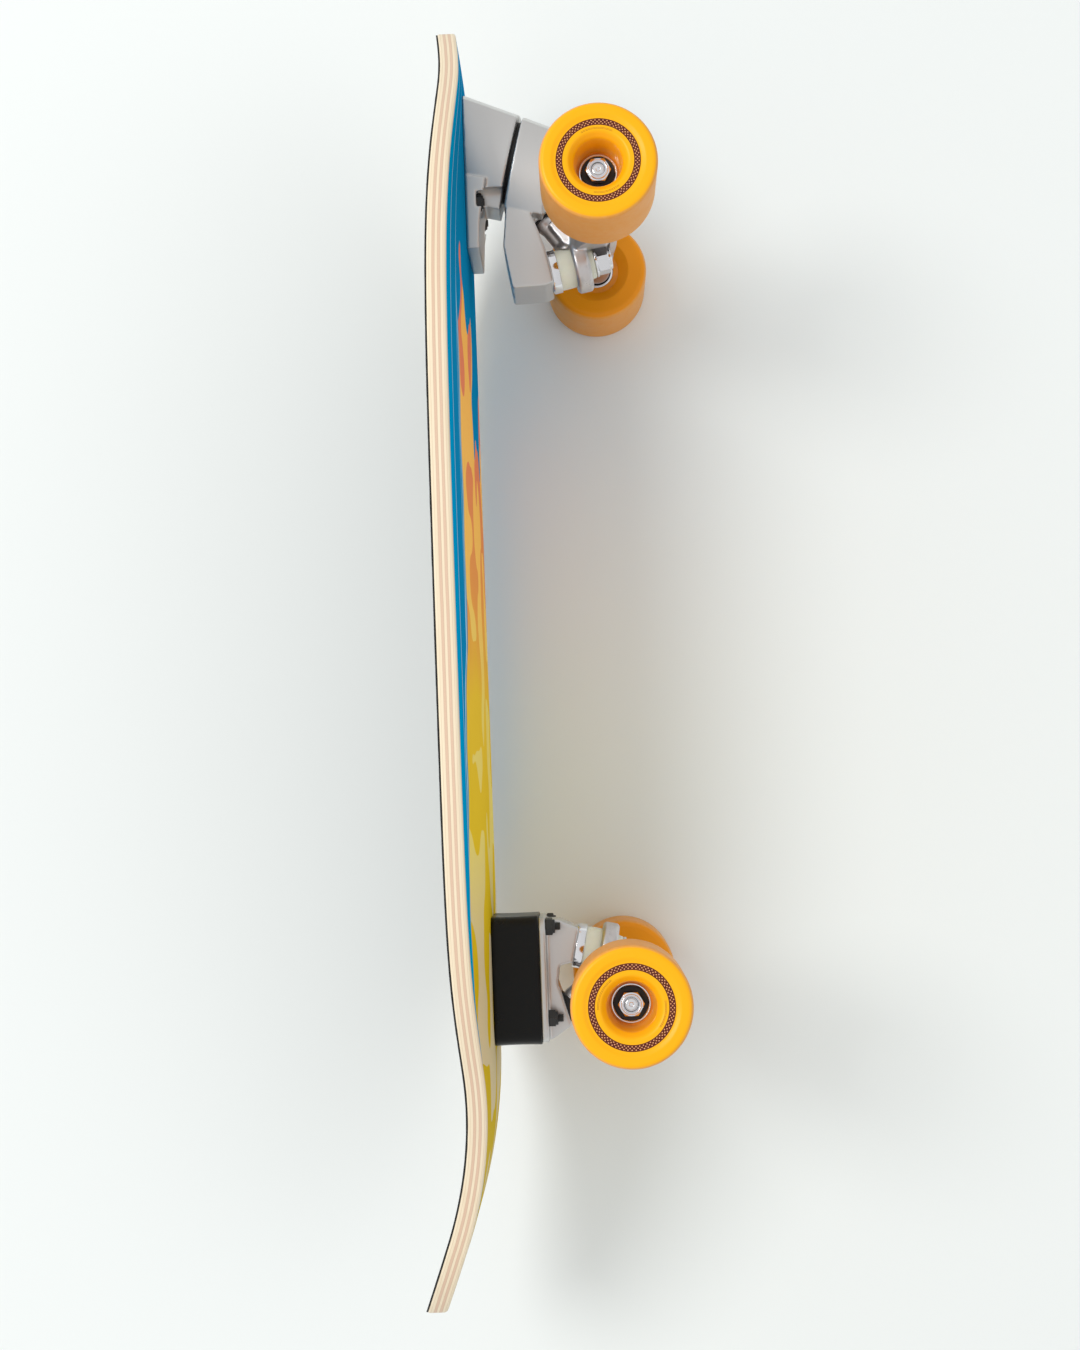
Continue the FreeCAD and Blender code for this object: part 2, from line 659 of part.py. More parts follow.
bush = new_body("swivel_bush", truck_place("front"))
spin(bush, "Revolution", block(6.06, NUT_SEAT, 8.0, -dim.swivel_gap - 0.2), SWIVEL)

upside_down = Placement(NOWHERE, Rotation(Vector(1, 0, 0), 180))
nut_place = swivel_level(NUT_SEAT - 0.2).multiply(upside_down)
swivel_nut = new_body("swivel_nut", truck_place("front").multiply(nut_place))
lock_nut(swivel_nut, 18.0, 5.6, 6.0, 1.4)


# ---------------------------------------------------------------- trucks

def steering_parts(end):
    """Kingpin, cushions, washers, nut and pivot cup of one truck."""
    place = truck_place(end)
    kingpin = new_body(end + "_kingpin", place)
    spin(kingpin, "Revolution", [
        (0, -19.6), (dim.king_radius - 0.6, -19.6), (dim.king_radius, -19.0),
        (dim.king_radius, dim.king_head), (7.9, dim.king_head), (7.9, dim.king_head + 5.6),
        (7.0, dim.king_head + 6.2), (0, dim.king_head + 6.2)], KING)

    inner = dim.king_radius + 0.2
    upper = new_body(end + "_upper_bushing", place)
    spin(upper, "Revolution", [
        (inner, 2.6), (11.9, 2.6), (12.5, 3.4), (12.5, 17.4), (11.9, 18.2), (inner, 18.2)], KING)
    lower = new_body(end + "_lower_bushing", place)
    spin(lower, "Revolution", [
        (inner, -8.4), (9.2, -8.4), (9.8, -7.7), (11.0, -2.6), (inner, -2.6)], KING)

    seat = dim.king_seat
    washers = new_body(end + "_kingpin_washers", place)
    spin(washers, "Revolution", [
        [(inner, seat), (inner, seat - 1.7), (12.6, seat - 1.7), (12.6, seat - 5.7),
         (13.5, seat - 5.7), (13.5, seat - 0.8), (12.7, seat)],
        [(inner, -10.1), (9.4, -10.1), (9.8, -9.7), (9.8, -8.5), (inner, -8.5)]], KING)

    nut = new_body(end + "_kingpin_nut", place)
    nut.Placement = place.multiply(
        king_level(-10.1).multiply(Placement(NOWHERE, Rotation(Vector(1, 0, 0), 180))))
    lock_nut(nut, 16.0, 7.4, dim.king_radius, 1.8)

    ball = dim.pivot_radius + 0.06
    middle = STEER_LENGTH + 2.5
    cup = new_body(end + "_pivot_cup", place)
    spin(cup, "Revolution", [
        (dim.cup_radius, STEER_LENGTH - 1.6), (dim.cup_radius, STEER_LENGTH + 11),
        (0, STEER_LENGTH + 11), (0, middle + ball, -ball.value), (ball, middle),
        (ball, STEER_LENGTH - 1.6)], STEER)


def hanger(end):
    """Cast hanger: axle housing, yoke ring about the kingpin, and rounded pivot stem."""
    body = new_body(end + "_hanger", truck_place(end))
    reach = dim.hanger_reach
    waist = dim.hanger_waist
    tip = dim.hanger_end
    spin(body, "Revolution", [
        (0, -reach), (tip - 0.8, -reach), (tip, 0.8 - reach), (tip, 8 - reach),
        (waist - 1, -34), (waist, -18), (waist, 18), (waist - 1, 34), (tip, reach - 8),
        (tip, reach - 0.8), (tip - 0.8, reach), (0, reach)], plane="XY_Plane")
    slab(body, "Pad", [(-13.0, -5.0), (-5.0, -11.0), (5.0, -11.3), (12.3, -2.0), (13.0, 9.0),
                       (9.5, 25.0), (3.0, 30.0), (-9.0, 21.5), (-15.0, 13.0)], 76.0)
    gussets = new_sketch(body, "YZ_Plane")
    for sign in (1, -1):
        loop(gussets, [(sign * 39.0, 1.0), (sign * 24.0, 8.5), (sign * 12.5, 17.0),
                       (sign * 9.5, 40.0), (sign * 45.0, 40.0), (sign * 45.0, 1.0)])
    extrude(body, "Pocket", gussets, symmetric=True)
    undercut = new_sketch(body, "YZ_Plane")
    for sign in (1, -1):
        loop(undercut, [(sign * 39.0, -1.0), (sign * 22.0, -14.0), (sign * 45.0, -14.0),
                        (sign * 45.0, -1.0)])
    extrude(body, "Pocket", undercut, symmetric=True)
    half = dim.ring_half
    ring = dim.ring_radius
    spin(body, "Revolution", [
        (0, -half), (ring - 1.5, -half), (ring, 1.5 - half), (ring, half - 1.5),
        (ring - 1.5, half), (0, half)], KING)
    ball = dim.pivot_radius
    middle = STEER_LENGTH + 2.5
    spin(body, "Revolution", [
        (0, 8), (10.5, 8), (9.5, 14), (5.2, 18.5), (4.6, 29), (ball, 33.5),
        (ball, middle, ball.value), (0, middle + ball)], STEER)
    spin(body, "Groove", block(0, 2.5, 13.2, 18.6), KING)
    spin(body, "Groove", [(0, -20), (12.4, -20), (11.9, -8), (11.9, -2.5), (0, -2.5)], KING)
    spin(body, "Groove", block(0, -20, dim.ring_bore, 20), KING)
    spin(body, "Groove", block(0, -reach - 1, dim.axle_radius, reach + 1), plane="XY_Plane")
    return body


def axle_parts(end):
    """Axle rod, lock nuts, speed washers, bearing inner races and spacers of one truck."""
    place = truck_place(end)
    rod = new_body(end + "_axle", place)
    reach = dim.axle_reach
    radius = dim.axle_radius
    spin(rod, "Revolution", [
        (0, -reach), (radius - 0.7, -reach), (radius, 0.7 - reach), (radius, reach - 0.7),
        (radius - 0.7, reach), (0, reach)], plane="XY_Plane")

    bore_radius = dim.bearing_bore
    width = dim.bearing_width
    second = BEARING_OUT - width
    washers = new_body(end + "_speed_washers", place)
    turned = spin(washers, "Revolution", [
        block(bore_radius, dim.hanger_reach, 5.4, BEARING_IN),
        block(bore_radius, BEARING_OUT, 5.4, BEARING_OUT + dim.washer)], plane="XY_Plane")
    mirror_across(washers, [turned])

    races = new_body(end + "_inner_races", place)
    turned = spin(races, "Revolution", [
        block(bore_radius, BEARING_IN, dim.race_inner, BEARING_IN + width),
        block(bore_radius, second, dim.race_inner, BEARING_OUT)], plane="XY_Plane")
    mirror_across(races, [turned])

    spacers = new_body(end + "_spacers", place)
    turned = spin(spacers, "Revolution", block(bore_radius, BEARING_IN + width, 5.6, second),
                  plane="XY_Plane")
    mirror_across(spacers, [turned])

    nuts = new_body(end + "_axle_nuts", place)
    seat = BEARING_OUT.value + dim.washer.value
    outline = new_sketch(nuts, "XZ_Plane", Placement(Vector(0, 0, -seat), Rotation()))
    hexagon(outline, 12.7)
    circle(outline, 0, 0, dim.axle_radius)
    hexagon_pad = extrude(nuts, "Pad", outline, 4.6, reverse=True)
    corner = 12.7 / math.sqrt(3)
    high = seat + 4.6
    chamfer = spin(nuts, "Groove", [
        (corner * 0.9, high + 1), (corner * 0.9, high), (corner + 0.1, high - 0.5),
        (corner + 1, high - 0.5), (corner + 1, high + 1)], plane="XY_Plane")
    collar = new_sketch(nuts, "XZ_Plane", Placement(Vector(0, 0, -high), Rotation()))
    circle(collar, 0, 0, 5.5)
    circle(collar, 0, 0, dim.axle_radius)
    collar_pad = extrude(nuts, "Pad", collar, 1.4, reverse=True)
    mirror_across(nuts, [hexagon_pad, chamfer, collar_pad])


def wheel(end, side):
    """One wheel: urethane tyre, hard core, and the turning parts of its two bearings."""
    name = "%s_%s_" % (end, side)
    place = side_place(end, side)
    outer = dim.wheel_face
    inner = outer - dim.wheel_width
    radius = dim.wheel_radius
    lip = dim.lip
    width = dim.bearing_width
    first = BEARING_IN
    last = BEARING_OUT
    core = dim.core_radius
    tyre = new_body(name + "tyre", place)
    spin(tyre, "Revolution", [
        (14.5, first), (core, first + 5), (core, last - 5), (14.5, last), (11.7, last),
        (12.4, last + 8), (14.0, outer - 3), (17.5, outer), (radius - lip, outer, -lip.value),
        (radius, outer - lip), (radius, inner + lip, -lip.value), (radius - lip, inner),
        (21.0, inner), (16.0, first - 1.2)], plane="XY_Plane")

    hub = new_body(name + "core", place)
    seat = dim.bearing_radius
    spin(hub, "Revolution", [
        (seat, first), (14.5, first), (core, first + 5), (core, last - 5), (14.5, last),
        (seat, last), (seat, last - width), (9.3, last - width), (9.3, first + width),
        (seat, first + width)], plane="XY_Plane")

    races = new_body(name + "outer_races", place)
    race = dim.race_outer
    spin(races, "Revolution", [
        [(race, y), (seat - 0.5, y), (seat, y + 0.5), (seat, y + width - 0.5),
         (seat - 0.5, y + width), (race, y + width)] for y in (first, last - width)],
        plane="XY_Plane")

    shields = new_body(name + "bearing_shields", place)
    levels = (first + 0.2, first + width - 0.6, last - width + 0.2, last - 0.6)
    spin(shields, "Revolution", [block(5.8, y, race, y + 0.4) for y in levels], plane="XY_Plane")

    balls = new_body(name + "bearing_balls", place)
    size = dim.ball_radius
    centre = first + width * 0.5
    half_disc = new_sketch(balls, "XY_Plane",
                           Placement(Vector(dim.ball_circle.value, centre.value, 0), Rotation()))
    loop(half_disc, [(0, -size, size.value), (size, 0, size.value), (0, size)])
    ball = turn(balls, "Revolution", half_disc)
    ring = balls.newObject("PartDesign::PolarPattern", name + "ball_ring")
    ring.Axis = (origin_part(balls, "Y_Axis"), [""])
    ring.Angle = 360
    ring.Occurrences = 7
    step = straight_row(balls, [], "Y_Axis", width + dim.spacer_length, 2)
    both = balls.newObject("PartDesign::MultiTransform", name + "both_rings")
    both.Originals = [ball]
    both.Transformations = [ring, step]
    balls.Tip = both


for truck_end in ("front", "rear"):
    steering_parts(truck_end)
    hanger(truck_end)
    axle_parts(truck_end)
    for wheel_side in ("left", "right"):
        wheel(truck_end, wheel_side)


# ---------------------------------------------------------------- check and write

document.recompute()

faults = []
for item in document.Objects:
    if "Invalid" in item.State or "Error" in item.State:
        faults.append("%s is %s" % (item.Name, item.State))
    if item.TypeId in ("PartDesign::Pocket", "PartDesign::Groove") and not faults:
        before = item.BaseFeature.Shape.Volume
        if item.Shape.Volume > before - 0.01:
            faults.append("%s cuts nothing" % item.Name)
for body in made:
    if body.Shape.isNull() or not body.Shape.isValid():
        faults.append("%s has no valid shape" % body.Label)
if faults:
    raise RuntimeError("; ".join(faults))

os.makedirs("parts", exist_ok=True)
for body in made:
    body.Shape.exportStep("parts/%s.step" % body.Label)
    box = body.Shape.BoundBox
    print("%-26s %2d solids %9.0f mm3  x %7.1f %7.1f  y %7.1f %7.1f  z %6.1f %6.1f" % (
        body.Label, len(body.Shape.Solids), body.Shape.Volume, box.XMin, box.XMax,
        box.YMin, box.YMax, box.ZMin, box.ZMax))
print(len(made), "nodes")
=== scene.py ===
"""Finished surfaces of a surf-style skateboard, built around its CAD frame."""

import json
import math

import bmesh
import bpy
from bpy.props import FloatProperty, FloatVectorProperty, IntProperty, PointerProperty
from mathutils import Matrix, Vector, noise


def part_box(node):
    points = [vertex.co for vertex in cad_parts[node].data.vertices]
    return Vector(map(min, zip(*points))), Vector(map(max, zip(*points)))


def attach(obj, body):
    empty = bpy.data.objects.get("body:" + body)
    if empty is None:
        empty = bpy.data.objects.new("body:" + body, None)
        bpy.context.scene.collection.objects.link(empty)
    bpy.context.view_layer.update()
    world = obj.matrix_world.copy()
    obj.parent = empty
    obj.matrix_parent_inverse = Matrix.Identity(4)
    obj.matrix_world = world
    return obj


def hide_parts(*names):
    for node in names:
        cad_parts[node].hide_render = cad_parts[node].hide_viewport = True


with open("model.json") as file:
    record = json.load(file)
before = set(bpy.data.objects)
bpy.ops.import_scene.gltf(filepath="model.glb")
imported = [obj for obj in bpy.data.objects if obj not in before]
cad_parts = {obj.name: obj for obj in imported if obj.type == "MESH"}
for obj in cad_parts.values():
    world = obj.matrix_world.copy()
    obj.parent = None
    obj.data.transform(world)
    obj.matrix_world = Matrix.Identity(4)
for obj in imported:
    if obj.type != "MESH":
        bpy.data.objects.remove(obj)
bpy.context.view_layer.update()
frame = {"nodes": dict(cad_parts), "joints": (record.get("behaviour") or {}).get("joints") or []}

bl_info = {
    "name": "Surf Skateboard",
    "version": (1, 0, 0),
    "blender": (4, 5, 0),
    "location": "3D View > Sidebar > Board",
    "description": "Builds the finished surfaces of a surf-style skateboard on its CAD frame",
    "category": "Object",
}

MM = 0.001
UP = Vector((0, 0, 1))
ENDS = ("front", "rear")
SIDES = ("left", "right")


# ---------------------------------------------------------------- places taken from the frame

def middle(node):
    """The middle of a CAD node's box."""
    low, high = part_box(node)
    return (low + high) / 2


def joint(name):
    """The record's row for a joint."""
    for row in frame["joints"]:
        if row["name"] == name:
            return row
    raise RuntimeError("the frame has no joint named " + name)


DECK_LOW, DECK_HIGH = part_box("deck")
HALF_LENGTH = (DECK_HIGH.x - DECK_LOW.x) / 2
HALF_WIDTH = (DECK_HIGH.y - DECK_LOW.y) / 2
UNDERSIDE = DECK_LOW.z
WHEEL_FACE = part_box("front_left_tyre")[1].y
WHEEL_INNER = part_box("front_left_tyre")[0].y
AXLE = {end: middle(end + "_axle") for end in ENDS}

BOLT_RADIUS = 2.4 * MM
BOLT_HEAD = 4.8 * MM
SEAT_RADIUS = 5.4 * MM
SEAT_DEPTH = 2.9 * MM
KINGPIN_LEAN = math.radians(12)
RING_LOW, RING_HIGH = 19.8 * MM, 23.5 * MM
LATTICE_COUNT, LATTICE_ROWS = 64.0, 2.0

CAMERA_PLACE = Vector((-0.09063, -1.12796, 0.05209))
CAMERA_TURN_DEGREES = Vector((-3.9576, 1.4160, -2.1651))
SURFACE_REACH = 5.0
LAMPS = (  # name, place, target, width, watts, tint
    ("key", (0.66, -2.9, 2.0), (0.0, 0.1, 0.0), 1.5, 52.0, (1.0, 0.99, 0.97)),
    ("fill", (-0.5, -2.2, -2.4), (0.0, 0.1, 0.05), 2.2, 8.0, (0.93, 0.97, 1.0)),
)
SKY_STRENGTH, SKY_BELOW, SKY_ABOVE = 0.78, 0.72, 1.28


# ---------------------------------------------------------------- sizes and colours to change

def size(name, description, default, low=0.0):
    """A length that a user may change, in metres."""
    return FloatProperty(name=name, description=description, default=default, min=low,
                         subtype="DISTANCE", unit="LENGTH", precision=5)


def colour(name, description, default):
    """A linear colour that a user may change."""
    return FloatVectorProperty(name=name, description=description, default=default, size=3,
                               subtype="COLOR", min=0.0, max=1.0)


class DeckSettings(bpy.types.PropertyGroup):
    """Bends, edges and colours of the deck."""

    thickness: size("Thickness", "Seven pressed maple plies", 11 * MM)
    grip: size("Grip sheet", "Thickness of the grip sheet", 1 * MM)
    flat: size("Flat half width", "The deck is flat this far each side of its middle", 34 * MM)
    rail_bend: size("Rail bend", "Radius that lifts the rails", 521 * MM)
    nose_start: size("Nose start", "Where the nose begins to lift", 335 * MM)
    nose_bend: size("Nose bend", "Radius of the nose", 388 * MM)
    kick_start: size("Kick start", "Distance behind the middle where the tail begins", 240 * MM)
    kick_bend: size("Kick bend", "Radius of the kicktail", 307 * MM)
    kick_angle: FloatProperty(name="Kick angle", description="Slope of the straight tail",
                              default=math.radians(20), subtype="ANGLE", unit="ROTATION")
    edge: size("Edge rounding", "Rounding of the lower edge", 1.7 * MM)
    rail_colour: colour("Rail colour", "Painted band along the rail", (0.0, 0.33, 0.64))
    field_colour: colour("Field colour", "Painted ground of the underside", (0.006, 0.25, 0.50))
    maple_colour: colour("Maple", "Long-grain plies", (0.86, 0.74, 0.54))
    cross_colour: colour("Cross plies", "The two cross-grain plies", (0.70, 0.50, 0.36))


class MetalSettings(bpy.types.PropertyGroup):
    """Finish of the castings."""

    voxel: size("Casting grain", "Cell that the castings' skins are rebuilt from", 0.62 * MM)
    passes: IntProperty(name="Tumbling passes", description="How far the edges are worn round",
                        default=6, min=0, max=30)
    alloy_colour: colour("Alloy", "Tumbled aluminium", (0.50, 0.49, 0.49))


class WheelSettings(bpy.types.PropertyGroup):
    """Shape and colours of the wheels."""

    radius: size("Radius", "Wheel radius", 33 * MM)
    lip: size("Lip", "Rounding of the wheel's edges", 4.5 * MM)
    recess: size("Face recess", "How far the printed zone lies below the rim", 0.9 * MM)
    face_colour: colour("Face", "Moulded urethane", (0.98, 0.45, 0.0))
    # The tread colour is partly worn, dusty urethane and partly painted sheen: paler and peachier than
    # the face.
    tread_sheen_and_wear_colour: colour("Tread", "Urethane skin on the tread", (0.80, 0.33, 0.055))
    print_colour: colour("Print", "Ink of the lattice ring", (0.085, 0.008, 0.006))


class StageSettings(bpy.types.PropertyGroup):
    """Camera, surface and light."""

    lens: FloatProperty(name="Lens", description="Focal length", default=61.75, min=10,
                        subtype="DISTANCE_CAMERA")
    clearance: size("Clearance", "Gap between the wheel faces and the pale surface", 0.5 * MM)
    surface_colour: colour("Surface", "Pale surface behind the board", (0.84, 0.875, 0.865))


# ---------------------------------------------------------------- materials

class Wire:
    """A socket while a finish is wired: arithmetic on it adds Math nodes."""

    def __init__(self, finish, socket):
        self.finish = finish
        self.socket = socket

    def also(self, name):
        """Another output of the same node."""
        return Wire(self.finish, self.socket.node.outputs[name])

    def math(self, operation, *others):
        return self.finish.math(operation, self, *others)

    def __add__(self, other):
        return self.math("ADD", other)

    def __radd__(self, other):
        return self.math("ADD", other)

    def __sub__(self, other):
        return self.math("SUBTRACT", other)

    def __rsub__(self, other):
        return self.finish.math("SUBTRACT", other, self)

    def __mul__(self, other):
        return self.math("MULTIPLY", other)

    def __rmul__(self, other):
        return self.math("MULTIPLY", other)

    def __truediv__(self, other):
        return self.math("DIVIDE", other)

    def __abs__(self):
        return self.math("ABSOLUTE")

    def above(self, edge, blur):
        """1 where the value is over an edge, 0 under it, with a soft step."""
        return self.finish.node("ShaderNodeMapRange", {"interpolation_type": "SMOOTHSTEP"}, {
            "Value": self, "From Min": edge - blur, "From Max": edge + blur}, "Result")

    def between(self, low, high, blur):
        """1 inside a band of values."""
        return self.above(low, blur) * (1 - self.above(high, blur))


class Wiring:
    """Adds nodes to one shader tree."""

    def __init__(self, tree):
        self.tree = tree

    def node(self, kind, settings, values, output=0):
        """Adds a node: its settings first, then the values and links of its sockets."""
        node = self.tree.nodes.new(kind)
        for key, value in settings.items():
            if key == "stops":
                self.set_stops(node.color_ramp, value)
            else:
                setattr(node, key, value)
        for key, value in values.items():
            socket = node.inputs[key]
            if isinstance(value, Wire):
                self.tree.links.new(value.socket, socket)
            else:
                socket.default_value = value
        return Wire(self, node.outputs[output])

    def set_stops(self, ramp, stops):
        """Gives a colour ramp its (position, colour) stops."""
        elements = ramp.elements
        while len(elements) < len(stops):
            elements.new(1.0)
        for element, (position, shade) in zip(elements, stops):
            element.position = position
            element.color = (*shade, 1.0)

    def math(self, operation, *terms):
        return self.node("ShaderNodeMath", {"operation": operation}, dict(enumerate(terms)))

    def span(self, value, low, high, to_low, to_high):
        """Maps one range of values onto another."""
        return self.node("ShaderNodeMapRange", {}, {
            "Value": value, "From Min": low, "From Max": high, "To Min": to_low,
            "To Max": to_high}, "Result")


class Finish(Wiring):
    """One procedural material on a Principled shader."""

    def __init__(self, name, constants):
        self.material = bpy.data.materials.new(name)
        self.material.use_nodes = True
        super().__init__(self.material.node_tree)
        self.shader = self.tree.nodes["Principled BSDF"]
        for key, value in constants.items():
            self.shader.inputs[key].default_value = value
        self.at = self.node("ShaderNodeTexCoord", {}, {}, "Object")

    def axes(self, vector=None):
        """The X, Y and Z of a vector, by default the place on the board."""
        x = self.node("ShaderNodeSeparateXYZ", {}, {0: vector or self.at}, "X")
        return x, x.also("Y"), x.also("Z")

    def attribute(self, name, output="Fac"):
        return self.node("ShaderNodeAttribute", {"attribute_name": name}, {}, output)

    def stretched(self, scale):
        """Coordinates scaled along X, Y and Z."""
        return self.node("ShaderNodeMapping", {}, {"Vector": self.at, "Scale": scale})

    def noise(self, scale, detail=2.0, roughness=0.5, vector=None):
        """Smooth noise between 0 and 1, by default over the place on the board."""
        return self.node("ShaderNodeTexNoise", {}, {
            "Vector": vector or self.at, "Scale": scale, "Detail": detail,
            "Roughness": roughness}, "Fac")

    def cells(self, scale):
        """Distance to the nearest of scattered spots."""
        return self.node("ShaderNodeTexVoronoi", {"feature": "F1"}, {
            "Vector": self.at, "Scale": scale}, "Distance")

    def blend(self, factor, one, two):
        """Mixes two colours."""
        first, second = [s if isinstance(s, Wire) else (*s, 1.0) for s in (one, two)]
        return self.node("ShaderNodeMix", {"data_type": "RGBA", "blend_type": "MIX"},
                         {0: factor, 6: first, 7: second}, 2)

    def ramp(self, value, stops):
        """A colour that runs through stops as the value goes from 0 to 1."""
        return self.node("ShaderNodeValToRGB", {"stops": stops}, {"Fac": value}, "Color")

    def bump(self, height, distance):
        """A normal bumped by a height between 0 and 1 that stands for a distance."""
        return self.node("ShaderNodeBump", {}, {
            "Height": height, "Distance": distance, "Strength": 1.0}, "Normal")

    def feed(self, **links):
        """Links values to the shader: colour, roughness, metallic, coat, normal."""
        names = {"colour": "Base Color", "roughness": "Roughness", "metallic": "Metallic",
                 "coat": "Coat Weight", "normal": "Normal"}
        for key, wire in links.items():
            self.tree.links.new(wire.socket, self.shader.inputs[names[key]])
        return self.material


def settings():
    return bpy.context.scene.surf_board


def underside_paint():
    """Paint: blue rail and field, pinstripes, and plain tongues of warm colour."""
    deck = settings().deck
    paint = Finish("underside_paint", {"Specular IOR Level": 0.0})
    x = paint.axes()[0]
    rim = paint.attribute("rim")
    wave = paint.noise(9.0, 1.0, 0.5, paint.stretched((1.0, 2.2, 0.01)))
    lick = paint.noise(15.0, 0.8, 0.4, paint.stretched((1.0, 1.6, 0.01)))
    lean = x + (wave - 0.5) * 0.09
    warm_edge = paint.span(lean, -0.21, 0.0, 0.0, 0.031) + (lick - 0.5) * 0.02
    reach = 0.215 - abs(rim - 0.055) * 1.3
    tongue = paint.span(lick, 0.3, 0.7, -0.075, 0.055)
    warm = (rim - warm_edge).above(0.0, 0.0006) * (reach + tongue - x).above(0.0, 0.0012)
    outline = (rim - warm_edge).between(-0.0035, -0.0022, 0.0004) * x.between(-0.1, 0.2, 0.02)

    along = paint.span(x + (wave - 0.5) * 0.05, -0.39, 0.24, 0.0, 1.0)
    outer = paint.ramp(along, [
        (0.0, (0.62, 0.46, 0.10)), (0.30, (0.66, 0.47, 0.01)), (0.42, (0.80, 0.56, 0.03)),
        (0.56, (0.86, 0.56, 0.05)), (0.66, (0.86, 0.36, 0.09)), (0.80, (0.83, 0.25, 0.12)),
        (1.0, (0.83, 0.24, 0.15))])
    inner = paint.ramp(along, [
        (0.0, (0.70, 0.60, 0.38)), (0.34, (0.70, 0.60, 0.36)), (0.44, (0.85, 0.70, 0.20)),
        (0.58, (0.88, 0.68, 0.16)), (0.70, (1.0, 0.56, 0.13)), (1.0, (1.0, 0.50, 0.12))])
    swirl = paint.noise(19.0, 0.5, 0.35, paint.stretched((1.0, 1.5, 0.01)))
    inside = (swirl + (wave - 0.5) * 0.5).above(0.5, 0.0025)
    glow = paint.blend(inside, outer, inner)

    blue = paint.blend(rim.above(0.0095, 0.0004), deck.rail_colour, deck.field_colour)
    shade = paint.span(x, -0.05, 0.4, 0.0, 1.0)
    blue = paint.blend(shade, blue, paint.blend(0.2, blue, (0.0, 0.18, 0.40)))
    stripes = rim.between(0.0115, 0.0124, 0.0002) + rim.between(0.0262, 0.0268, 0.0002)
    blue = paint.blend(stripes * 0.75, blue, (0.50, 0.74, 0.86))
    base = paint.blend(outline, blue, (0.60, 0.80, 0.88))
    base = paint.blend(warm, base, glow)
    cloud = paint.noise(16.0, 3.0, 0.6)
    peel = paint.noise(700.0, 2.0, 0.5)
    rough = paint.span(cloud, 0.3, 0.7, 0.28, 0.42)
    return paint.feed(colour=base, roughness=rough, normal=paint.bump(peel, 0.00002))


def maple():
    """Pressed plies seen from the edge, with two cross-grain plies."""
    deck = settings().deck
    wood = Finish("maple_plies", {"Specular IOR Level": 0.35})
    height = wood.attribute("ply") / deck.thickness
    wobble = wood.noise(30.0, 2.0, 0.5, wood.stretched((1.0, 1.0, 0.1)))
    level = height + (wobble - 0.5) * 0.03
    cross = level.between(2.0 / 7, 3.0 / 7, 0.012) + level.between(4.0 / 7, 5.0 / 7, 0.012)
    glue = (level * 7.0).math("FRACT").between(0.06, 0.94, 0.05)
    fibre = wood.noise(150.0, 4.0, 0.65, wood.stretched((0.10, 0.10, 6.0)))
    pores = wood.noise(1400.0, 2.0, 0.6)
    blotch = wood.noise(22.0, 2.0, 0.5)
    long_grain = wood.blend(fibre.above(0.52, 0.16) * 0.55, deck.maple_colour,
                            (0.76, 0.61, 0.41))
    long_grain = wood.blend(blotch * 0.35, long_grain, (0.90, 0.79, 0.62))
    end_grain = wood.blend(pores.above(0.5, 0.1) * 0.6, deck.cross_colour,
                           (0.74, 0.53, 0.39))
    shade = wood.blend(cross, long_grain, end_grain)
    shade = wood.blend((1 - glue) * 0.45, shade, (0.42, 0.25, 0.15))
    rough = wood.span(pores, 0.3, 0.7, 0.42, 0.62)
    relief = pores * 0.4 + fibre * 0.4 + cross * 0.5
    return wood.feed(colour=shade, roughness=rough, normal=wood.bump(relief, 0.00012))


def grip():
    """Black gritty sheet."""
    sheet = Finish("grip_grit", {"Specular IOR Level": 0.4})
    grit = sheet.cells(2100.0)
    dust = sheet.noise(14.0, 4.0, 0.6)
    glint = sheet.cells(2600.0)
    shade = sheet.blend(dust.above(0.5, 0.2) * 0.35, (0.010, 0.010, 0.011), (0.035, 0.034, 0.033))
    shade = sheet.blend(1 - glint.above(0.16, 0.04), shade, (0.16, 0.16, 0.165))
    rough = sheet.span(grit, 0.0, 0.6, 0.55, 0.95)
    return sheet.feed(colour=shade, roughness=rough, normal=sheet.bump(1 - grit, 0.00035))


def black_steel():
    """Blackened bolts and nuts."""
    steel = Finish("black_steel", {"Specular IOR Level": 0.5})
    mottle = steel.noise(420.0, 3.0, 0.6)
    fine = steel.noise(2600.0, 2.0, 0.5)
    shade = steel.blend(mottle, (0.006, 0.006, 0.007), (0.030, 0.030, 0.033))
    rough = steel.span(mottle, 0.3, 0.7, 0.26, 0.46)
    metal = steel.span(mottle, 0.35, 0.65, 0.25, 0.65)
    return steel.feed(colour=shade, roughness=rough, metallic=metal,
                      normal=steel.bump(fine, 0.00003))


def riser_plastic():
    """Moulded black riser, smooth with a faint orange peel."""
    block = Finish("riser_plastic", {"Specular IOR Level": 0.2})
    peel = block.noise(520.0, 2.0, 0.5)
    sweep = block.noise(26.0, 2.0, 0.5)
    dust = block.noise(1500.0, 2.0, 0.6)
    shade = block.blend(sweep, (0.0025, 0.0028, 0.003), (0.006, 0.0065, 0.0065))
    shade = block.blend(dust.above(0.72, 0.02) * 0.25, shade, (0.03, 0.03, 0.029))
    rough = block.span(sweep, 0.3, 0.7, 0.24, 0.34)
    return block.feed(colour=shade, roughness=rough, normal=block.bump(peel, 0.00007))


